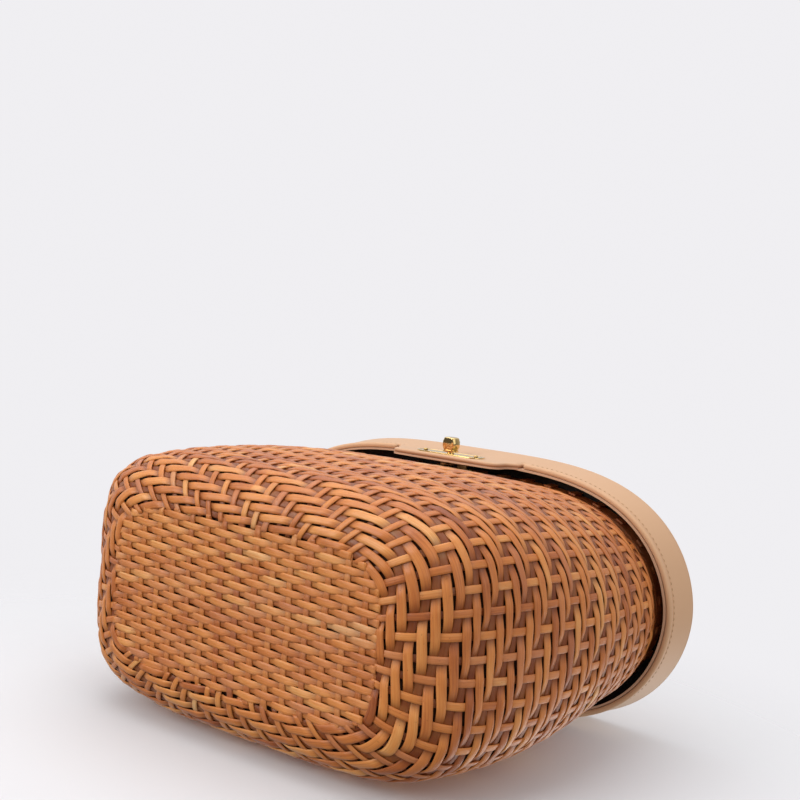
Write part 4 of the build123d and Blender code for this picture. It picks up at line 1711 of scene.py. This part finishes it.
@dataclass
class HingeStrap:
    """One leather strap from the basket's back to the skirt, with its rivets."""

    basket: WovenBasket
    lid: LeatherLid
    columns: int = 47
    half_width: float = 45.0
    thickness: float = 1.4
    gap: float = 0.1
    lower_reach: float = 34.0
    flat_reach: float = 20.0
    upper_reach: float = 15.0
    corner: float = 5.0
    rivet_margin: float = 6.0
    rivet_places: Tuple[float, ...] = (-37.0, -13.0, 13.0, 37.0)
    head_radius: float = 2.6
    head_height: float = 1.1
    stitch_inset: float = 2.6

    @property
    def middle(self) -> int:
        """Column of points on the strap's middle line."""
        return self.columns // 2

    def wall_point(self, x: Points, height: float, out: float) -> Points:
        """Points on the basket's back above given X.

        Args:
            x: Places along X.
            height: Height above the base.
            out: Distance outside the wall.

        Returns:
            One point for each place.
        """
        form = self.basket.form
        level = form.quarter_turn + height - form.base_round
        length = self.basket.wall.length_at(level)
        share = 0.5 - x / length
        return self.basket.wall.at(share, np.full(len(x), level), np.full(len(x), out))

    def skirt_point(self, x: Points, height: float, out: float) -> Points:
        """Points on the skirt's back above given X."""
        travel = self.lid.around / 2 - x
        return self.lid.place(travel, np.full(len(x), height), np.full(len(x), out))

    def sheet(self) -> Tuple[Points, Points, Points]:
        """Middle of the strap as rows by columns.

        Returns:
            Points, outward normals, and the way up of each row.
        """
        line = self.lid.form.lid_line
        low, bend = line - self.lower_reach, line - self.flat_reach
        high = line + self.upper_reach
        x = np.linspace(-1, 1, self.columns)
        lift = self.gap + self.thickness / 2
        seat = self.lid.form.outer + lift
        across = x * self.half_width
        guide = [self.wall_point(across, height, lift) for height in np.linspace(low, bend, 12)]
        foot, head = guide[-1], self.skirt_point(across, line - 0.7, seat)
        guide += [foot * (1 - t) + head * t for t in np.linspace(0, 1, 17)[1:]]
        upper = np.linspace(line, high, 13)[1:]
        guide += [self.skirt_point(across, height, seat) for height in upper]
        rows = np.stack(guide)
        for _ in range(5):
            rows[1:-1] = rows[:-2] * 0.25 + rows[1:-1] * 0.5 + rows[2:] * 0.25
        way = way_along(rows[:, self.middle])
        even = np.linspace(0, way[-1], 44)
        even = np.sort(np.concatenate([even, [0.4, 1.0, way[-1] - 1.0, way[-1] - 0.4]]))
        rows = read_line(even, way, rows.reshape(len(rows), -1))
        rows = rows.reshape(len(even), self.columns, 3)
        end = np.minimum(even, way[-1] - even)
        short = np.clip(self.corner - end, 0, self.corner)
        width = 1 - (self.corner - np.sqrt(self.corner ** 2 - short ** 2)) / self.half_width
        middle = rows[:, self.middle:self.middle + 1]
        rows = middle + (rows - middle) * width[:, None, None]
        normal = np.cross(np.gradient(rows, axis=0), np.gradient(rows, axis=1))
        normal /= np.linalg.norm(normal, axis=2, keepdims=True)
        if normal[20, self.middle, 1] < 0:
            normal = -normal
        return rows, normal, even

    def strap(self) -> bpy.types.Object:
        """Builds the strap as one closed leather with rounded edges.

        Returns:
            The new object.
        """
        rows, normal, way = self.sheet()
        place = np.abs(np.linspace(-1, 1, self.columns)) * self.half_width
        side = np.clip((place - (self.half_width - 0.8)) / 0.8, 0, 1)
        ends = np.clip((0.8 - np.minimum(way, way[-1] - way)) / 0.8, 0, 1)
        full = np.sqrt(np.clip(1 - np.maximum(side[None, :], ends[:, None]) ** 2, 0.04, 1))
        half = self.thickness / 2 * full[:, :, None]
        loop = np.concatenate([rows + normal * half, (rows - normal * half)[:, ::-1]], axis=1)
        batch = StrandBatch("hinge_strap")
        batch.add(loop, way, np.zeros((len(way), 3)), False)
        return batch.finish()

    def stitches(self) -> bpy.types.Object:
        """Builds a line of stitches inside each edge of the strap.

        Returns:
            The new object.
        """
        rows, normal, way = self.sheet()
        middle = self.middle
        column = int(round(middle * (1 - self.stitch_inset / self.half_width)))
        top = rows + normal * (self.thickness / 2 - 0.06)
        inside = slice(3, len(way) - 3)
        edges = [middle + side * column for side in (-1, 1)]
        lines = [(top[inside, edge], normal[inside, edge]) for edge in edges]
        between = slice(middle - column, middle + column + 1)
        for row in (3, len(way) - 4):
            lines.append((top[row, between], normal[row, between]))
        return StitchRow("strap_stitches").build(lines)

    def rivet(self, name: str, place: Points, normal: Points) -> bpy.types.Object:
        """Builds one domed rivet head at a place.

        Args:
            name: Name of the rivet.
            place: Middle of its seat, in millimetres.
            normal: Way that it looks.

        Returns:
            The new object.
        """
        clear_selection()
        radius, height = self.head_radius * MM, self.head_height * MM
        bpy.ops.mesh.primitive_cylinder_add(
            vertices=28, radius=radius, depth=height, location=(0, 0, height / 2),
            end_fill_type="NGON",
        )
        piece = bpy.context.object
        select_top(piece)
        for inset in (0.16, 0.2, 0.24, 0.26):
            bpy.ops.mesh.inset(thickness=radius * inset, depth=0)
            bpy.ops.transform.translate(value=(0, 0, radius * (0.3 - inset) * 0.5))
        bpy.ops.object.mode_set(mode="OBJECT")
        round_edges(piece, 0.22, 3)
        smooth(piece, 50)
        turn = Vector((0, 0, 1)).rotation_difference(Vector(normal.tolist()))
        piece.rotation_mode = "QUATERNION"
        piece.rotation_quaternion = turn
        piece.location = Vector((place * MM).tolist())
        return settle(piece, name)

    def rivets(self) -> Tuple[List[bpy.types.Object], List[bpy.types.Object]]:
        """Builds the lower and the upper rivets.

        Returns:
            The lower rivets and the upper ones.
        """
        line = self.lid.form.lid_line
        seat = self.gap + self.thickness
        lower, upper = [], []
        for number, x in enumerate(self.rivet_places):
            spot = np.array([x])
            height = line - self.lower_reach + self.rivet_margin
            here = self.wall_point(spot, height, seat)[0]
            out = self.wall_point(spot, height, seat + 1)[0]
            lower.append(self.rivet(f"strap_rivet_lower_{number}", here, out - here))
            height = line + self.upper_reach - self.rivet_margin
            seated = self.lid.form.outer + seat
            here = self.skirt_point(spot, height, seated)[0]
            out = self.skirt_point(spot, height, seated + 1)[0]
            upper.append(self.rivet(f"strap_rivet_upper_{number}", here, out - here))
        return lower, upper

    def build(self, palette: Palette) -> List[bpy.types.Object]:
        """Builds and dresses the strap.

        Args:
            palette: Finishes to use.

        Returns:
            The pieces made.
        """
        strap, stitches = self.strap(), self.stitches()
        for piece, material in ((strap, palette.leather), (stitches, palette.thread)):
            dress(piece, material)
            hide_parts("hinge_strap_basket", "hinge_strap_lid")
            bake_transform(piece)
        lower, upper = self.rivets()
        plan = ((lower, "basket", "hinge_rivets_basket"), (upper, "lid", "hinge_rivets_lid"))
        for pieces, body, node in plan:
            for piece in pieces:
                dress(piece, palette.brass)
                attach(piece, body)
                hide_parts(node)
        return [strap, stitches] + lower + upper


# Clasp


@dataclass
class TurnClasp:
    """Plain oblong plate and a barrel-shaped turn knob."""

    height: float = 161.2
    plate_back: float = -63.5
    plate_length: float = 42.0
    plate_width: float = 12.0
    plate_thickness: float = 1.2
    knob_back: float = -65.7
    knob_radius: float = 4.7
    knob_end_radius: float = 3.9
    knob_half_thickness: float = 3.2
    rivet_reach: float = 16.5
    rivet_radius: float = 1.25
    rivet_flatness: float = 0.42
    rivet_sink: float = 0.2

    def stand(
        self, piece: bpy.types.Object, name: str, back: float, x: float = 0.0
    ) -> bpy.types.Object:
        """Turns a piece made along Z to look forward, and puts it on the flap.

        Args:
            piece: Object made along Z.
            name: Name of the object.
            back: Place of its back along Y.
            x: Place of its middle along X.

        Returns:
            The same object.
        """
        piece.rotation_euler = (math.radians(90), 0, 0)
        piece.location = (x * MM, back * MM, self.height * MM)
        return settle(piece, name)

    def plate(self) -> bpy.types.Object:
        """Builds the oblong plate with a raised border round a sunk field.

        Returns:
            The new object.
        """
        clear_selection()
        radius = self.plate_width / 2 * MM
        bpy.ops.mesh.primitive_cylinder_add(
            vertices=64, radius=radius, depth=self.plate_thickness * MM,
            location=(0, 0, self.plate_thickness / 2 * MM),
        )
        piece = bpy.context.object
        bpy.ops.object.mode_set(mode="EDIT")
        bpy.ops.mesh.select_all(action="SELECT")
        bpy.ops.mesh.bisect(plane_co=(0, 0, 0), plane_no=(1, 0, 0))
        bpy.ops.object.mode_set(mode="OBJECT")
        shift = (self.plate_length - self.plate_width) / 2 * MM
        for vertex in piece.data.vertices:
            if abs(vertex.co.x) > 1e-6:
                vertex.co.x += math.copysign(shift, vertex.co.x)
        select_top(piece)
        bpy.ops.mesh.dissolve_faces()
        bpy.ops.mesh.inset(thickness=1.0 * MM, depth=0)
        bpy.ops.mesh.inset(thickness=0.25 * MM, depth=-0.22 * MM)
        bpy.ops.object.mode_set(mode="OBJECT")
        round_edges(piece, 0.3, 3, 40)
        smooth(piece, 35)
        return self.stand(piece, "clasp_plate", self.plate_back)

    def plate_rivet(self, side: int) -> bpy.types.Object:
        """Builds one small domed rivet head in the plate.

        Args:
            side: Minus one for the left, one for the right.

        Returns:
            The new object.
        """
        clear_selection()
        bpy.ops.mesh.primitive_uv_sphere_add(segments=28, ring_count=14, radius=self.rivet_radius * MM)
        piece = bpy.context.object
        piece.scale = (1, 1, self.rivet_flatness)
        bpy.ops.object.transform_apply(location=False, rotation=False, scale=True)
        smooth(piece, 60)
        name = "plate_rivet_left" if side < 0 else "plate_rivet_right"
        back = self.plate_back - self.plate_thickness + self.rivet_sink
        return self.stand(piece, name, back, side * self.rivet_reach)

    def knob(self) -> bpy.types.Object:
        """Builds the barrel with its two flat sides.

        Returns:
            The new object.
        """
        clear_selection()
        bpy.ops.mesh.primitive_cylinder_add(
            vertices=72, radius=self.knob_end_radius * MM, depth=0.6 * MM, location=(0, 0, 0.3 * MM)
        )
        piece = bpy.context.object
        select_top(piece)
        swell = self.knob_radius / self.knob_end_radius
        steps = [
            (0.7, 1.09), (0.9, swell / 1.09 * 0.985), (1.5, 1.015), (1.5, 1 / 1.015),
            (0.9, 1.09 / swell / 0.985), (0.7, 0.965), (0.35, 0.9), (0.2, 0.8),
        ]
        for rise, scale in steps:
            bpy.ops.mesh.extrude_region_move(TRANSFORM_OT_translate={"value": (0, 0, rise * MM)})
            bpy.ops.transform.resize(value=(scale, scale, 1))
        bpy.ops.mesh.inset(thickness=1.4 * MM, depth=0.05 * MM)
        for side in (-1, 1):
            bpy.ops.mesh.select_all(action="SELECT")
            bpy.ops.mesh.bisect(
                plane_co=(0, side * self.knob_half_thickness * MM, 0), plane_no=(0, side, 0),
                use_fill=True, clear_outer=True,
            )
        bpy.ops.mesh.select_all(action="SELECT")
        bpy.ops.mesh.remove_doubles(threshold=1e-6)
        bpy.ops.mesh.normals_make_consistent(inside=False)
        bpy.ops.object.mode_set(mode="OBJECT")
        round_edges(piece, 0.42, 4, 32)
        smooth(piece, 35)
        return self.stand(piece, "turn_barrel", self.knob_back)

    def build(self, palette: Palette) -> List[bpy.types.Object]:
        """Builds and dresses the clasp.

        Args:
            palette: Finishes to use.

        Returns:
            The pieces made.
        """
        plan = [
            (self.plate(), "lid", "lock_plate"),
            (self.plate_rivet(-1), "lid", "lock_plate"),
            (self.plate_rivet(1), "lid", "lock_plate"),
            (self.knob(), "clasp", "turn_knob"),
        ]
        for piece, body, node in plan:
            dress(piece, palette.polished)
            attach(piece, body)
            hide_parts(node)
        return [piece for piece, _, _ in plan]


# Stage


@dataclass(frozen=True)
class Softbox:
    """One square soft lamp."""

    name: str
    place: Place
    size: float
    power: float


@dataclass
class Studio:
    """Floor, light and camera."""

    floor_y: float = 0.0672
    floor_reach: float = 0.42
    floor_size: float = 4.0
    sky_strength: float = 0.72
    ground_share: float = 0.32
    aim: Place = (0.0, 0.0, 0.09)
    lamp_colour: Colour = (1.0, 0.98, 0.95)
    softboxes: Tuple[Softbox, ...] = (
        Softbox("overhead", (-0.2, -1.2, 0.1), 1.3, 6.8),
        Softbox("camera_side", (-0.65, -0.75, -1.15), 1.0, 11.5),
        Softbox("right_side", (1.25, -0.55, -0.35), 1.1, 3.4),
        Softbox("behind", (0.5, 0.9, 1.0), 0.9, 4.5),
    )
    paper: Colour = (0.76, 0.77, 0.81)
    backdrop: Colour = (0.870, 0.860, 0.885)
    sensor_width: float = 36.0
    focal_pixels: float = 1241.58
    photo_pixels: float = 800.0
    camera_place: Place = (0.375784, -0.136452, -0.397349)
    camera_right: Place = (0.79838, -0.08004, 0.59681)
    camera_down: Place = (0.10469, 0.99448, -0.00669)
    camera_ahead: Place = (-0.59298, 0.06782, 0.80236)

    def one_sided(self, name: str, colour: Colour, reach: float) -> bpy.types.Material:
        """Paper that only the camera sees, from its front, fading out far away.

        Args:
            name: Name of the material.
            colour: Colour of the paper.
            reach: Distance at which it has faded out, in metres.

        Returns:
            The new material.
        """
        material, board, shader = new_material(name)
        place = board.add("ShaderNodeTexCoord")
        tint = board.noise(place.outputs["Object"], 2.0, 2.0)
        paler = tuple(min(1.0, value * 1.01) for value in colour)
        board.join(board.mix(tint, colour, paler), shader.inputs["Base Color"])
        shader.inputs["Roughness"].default_value = 0.9
        shader.inputs["Specular IOR Level"].default_value = 0.1
        clear = board.add("ShaderNodeBsdfTransparent")
        ray = board.add("ShaderNodeLightPath")
        face = board.add("ShaderNodeNewGeometry")
        seen = board.math("MULTIPLY", ray.outputs["Is Camera Ray"],
                          board.math("SUBTRACT", 1.0, face.outputs["Backfacing"]))
        distance = board.add("ShaderNodeVectorMath", operation="LENGTH")
        board.join(place.outputs["Object"], distance.inputs[0])
        away = distance.outputs["Value"]
        near = board.span(away, (reach * 0.3, reach), (1.0, 0.0), "SMOOTHSTEP")
        mixer = board.add("ShaderNodeMixShader")
        board.join(board.math("MULTIPLY", seen, near), mixer.inputs[0])
        board.join(clear.outputs[0], mixer.inputs[1])
        board.join(shader.outputs[0], mixer.inputs[2])
        output = next(n for n in board.tree.nodes if n.type == "OUTPUT_MATERIAL")
        board.join(mixer.outputs[0], output.inputs[0])
        return material

    def floors(self) -> None:
        """Adds the floor that the bag lies on and the one that it can stand on."""
        paper = self.one_sided("paper", self.paper, self.floor_reach)
        clear_selection()
        bpy.ops.mesh.primitive_plane_add(
            size=self.floor_size, location=(0, self.floor_y, 0.09), rotation=(math.radians(90), 0, 0)
        )
        lying = settle(bpy.context.object, "floor_lying")
        clear_selection()
        bpy.ops.mesh.primitive_plane_add(size=self.floor_size, location=(0, 0, -0.0002))
        standing = settle(bpy.context.object, "floor_standing")
        for floor in (lying, standing):
            dress(floor, paper)

    def world(self) -> None:
        """Soft light all round, with a plain backdrop for the camera."""
        world = bpy.data.worlds.new("studio")
        bpy.context.scene.world = world
        world.use_nodes = True
        world.node_tree.nodes.clear()
        board = NodeBoard(world.node_tree)
        place = board.add("ShaderNodeTexCoord")
        parts = board.add("ShaderNodeSeparateXYZ")
        board.join(place.outputs["Generated"], parts.inputs[0])
        above = board.span(parts.outputs["Y"], (-1.0, 1.0), (1.0, self.ground_share))
        light = board.add("ShaderNodeBackground")
        light.inputs[0].default_value = (1.0, 0.99, 0.985, 1.0)
        board.join(board.math("MULTIPLY", above, self.sky_strength), light.inputs[1])
        backdrop = board.add("ShaderNodeBackground")
        backdrop.inputs[0].default_value = (*self.backdrop, 1.0)
        ray = board.add("ShaderNodeLightPath")
        seen = board.math("MAXIMUM", ray.outputs["Is Camera Ray"], ray.outputs["Is Transmission Ray"])
        mirrored = ray.outputs["Is Glossy Ray"]
        below = board.span(parts.outputs["Z"], (-0.75, 0.25), (0.12, 0.8), "SMOOTHSTEP")
        fade = board.math("SUBTRACT", 1.0, board.math("MULTIPLY", parts.outputs["X"], 0.5))
        fade = board.math("MULTIPLY", above, fade)
        fade = board.math("MULTIPLY", fade, below)
        board.join(
            board.math("MAXIMUM", board.math("SUBTRACT", 1.0, mirrored), fade), backdrop.inputs[1]
        )
        seen = board.math("MAXIMUM", seen, mirrored)
        mixer = board.add("ShaderNodeMixShader")
        board.join(seen, mixer.inputs[0])
        board.join(light.outputs[0], mixer.inputs[1])
        board.join(backdrop.outputs[0], mixer.inputs[2])
        output = board.add("ShaderNodeOutputWorld")
        board.join(mixer.outputs[0], output.inputs[0])

    def lights(self) -> None:
        """Adds the softboxes, each aimed at the bag's middle."""
        for box in self.softboxes:
            data = bpy.data.lights.new(box.name, "AREA")
            data.size = box.size
            data.energy = box.power
            data.color = self.lamp_colour
            lamp = bpy.data.objects.new(box.name, data)
            bpy.context.scene.collection.objects.link(lamp)
            place = Vector(box.place)
            lamp.location = place
            lamp.rotation_euler = (Vector(self.aim) - place).to_track_quat("-Z", "Y").to_euler()

    def camera(self) -> None:
        """Adds the camera where the photograph was taken from."""
        data = bpy.data.cameras.new("camera")
        data.sensor_width = self.sensor_width
        data.lens = self.focal_pixels * self.sensor_width / self.photo_pixels
        data.clip_start = 0.02
        data.clip_end = 50.0
        camera = bpy.data.objects.new("camera", data)
        bpy.context.scene.collection.objects.link(camera)
        turned = (self.camera_right, self.camera_down, self.camera_ahead, self.camera_place)
        rows = [
            [right, -down, -ahead, place] for right, down, ahead, place in zip(*turned)
        ]
        camera.matrix_world = Matrix(rows + [[0, 0, 0, 1]])
        bpy.context.scene.camera = camera

    def build(self) -> None:
        """Builds the whole stage."""
        self.floors()
        self.world()
        self.lights()
        self.camera()
        settings = bpy.context.scene.view_settings
        settings.view_transform = "Standard"
        log.info("studio ready")


# The darkest brass goes on the pieces under the flap and behind the plate, as painted shade.
CAD_FINISHES: Dict[str, str] = {
    "rim_hoop_outer": "hoop", "rim_hoop_inner": "hoop", "rim_lashing": "hoop",
    "hinge_strap_basket": "leather", "hinge_strap_lid": "leather",
    "hinge_rivets_basket": "brass", "hinge_rivets_lid": "brass",
    "keeper_plate": "shade_dark", "keeper_rivets": "shade_dark",
    "lid_board": "board", "lid_cover": "leather", "lid_skirt": "leather",
    "skirt_lining": "inner", "lid_lining": "lining", "edge_welt": "leather",
    "flap_leather": "leather", "flap_lining": "inner",
    "lock_plate": "polished", "lock_backing": "shade_dark", "lock_rivets": "shade_dark",
    "turn_knob": "polished", "knob_spindle": "polished",
    "latch_cam": "shade_dark", "cam_retainer": "shade_dark",
}


def dress_frame(palette: Palette) -> None:
    """Gives the CAD pieces that stay their finishes."""
    for node, finish in CAD_FINISHES.items():
        dress(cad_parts[node], getattr(palette, finish))


def main() -> None:
    """Builds the bag and its stage in order."""
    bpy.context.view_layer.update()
    clear_selection()
    Studio().build()
    palette = Palette()
    dress_frame(palette)
    basket, lid = WovenBasket(), LeatherLid()
    strap, clasp = HingeStrap(basket, lid), TurnClasp()
    for part in (basket, lid, strap, clasp):
        pieces = part.build(palette)
        log.info("%s: %d pieces", type(part).__name__, len(pieces))


if __name__ == "__main__":
    main()
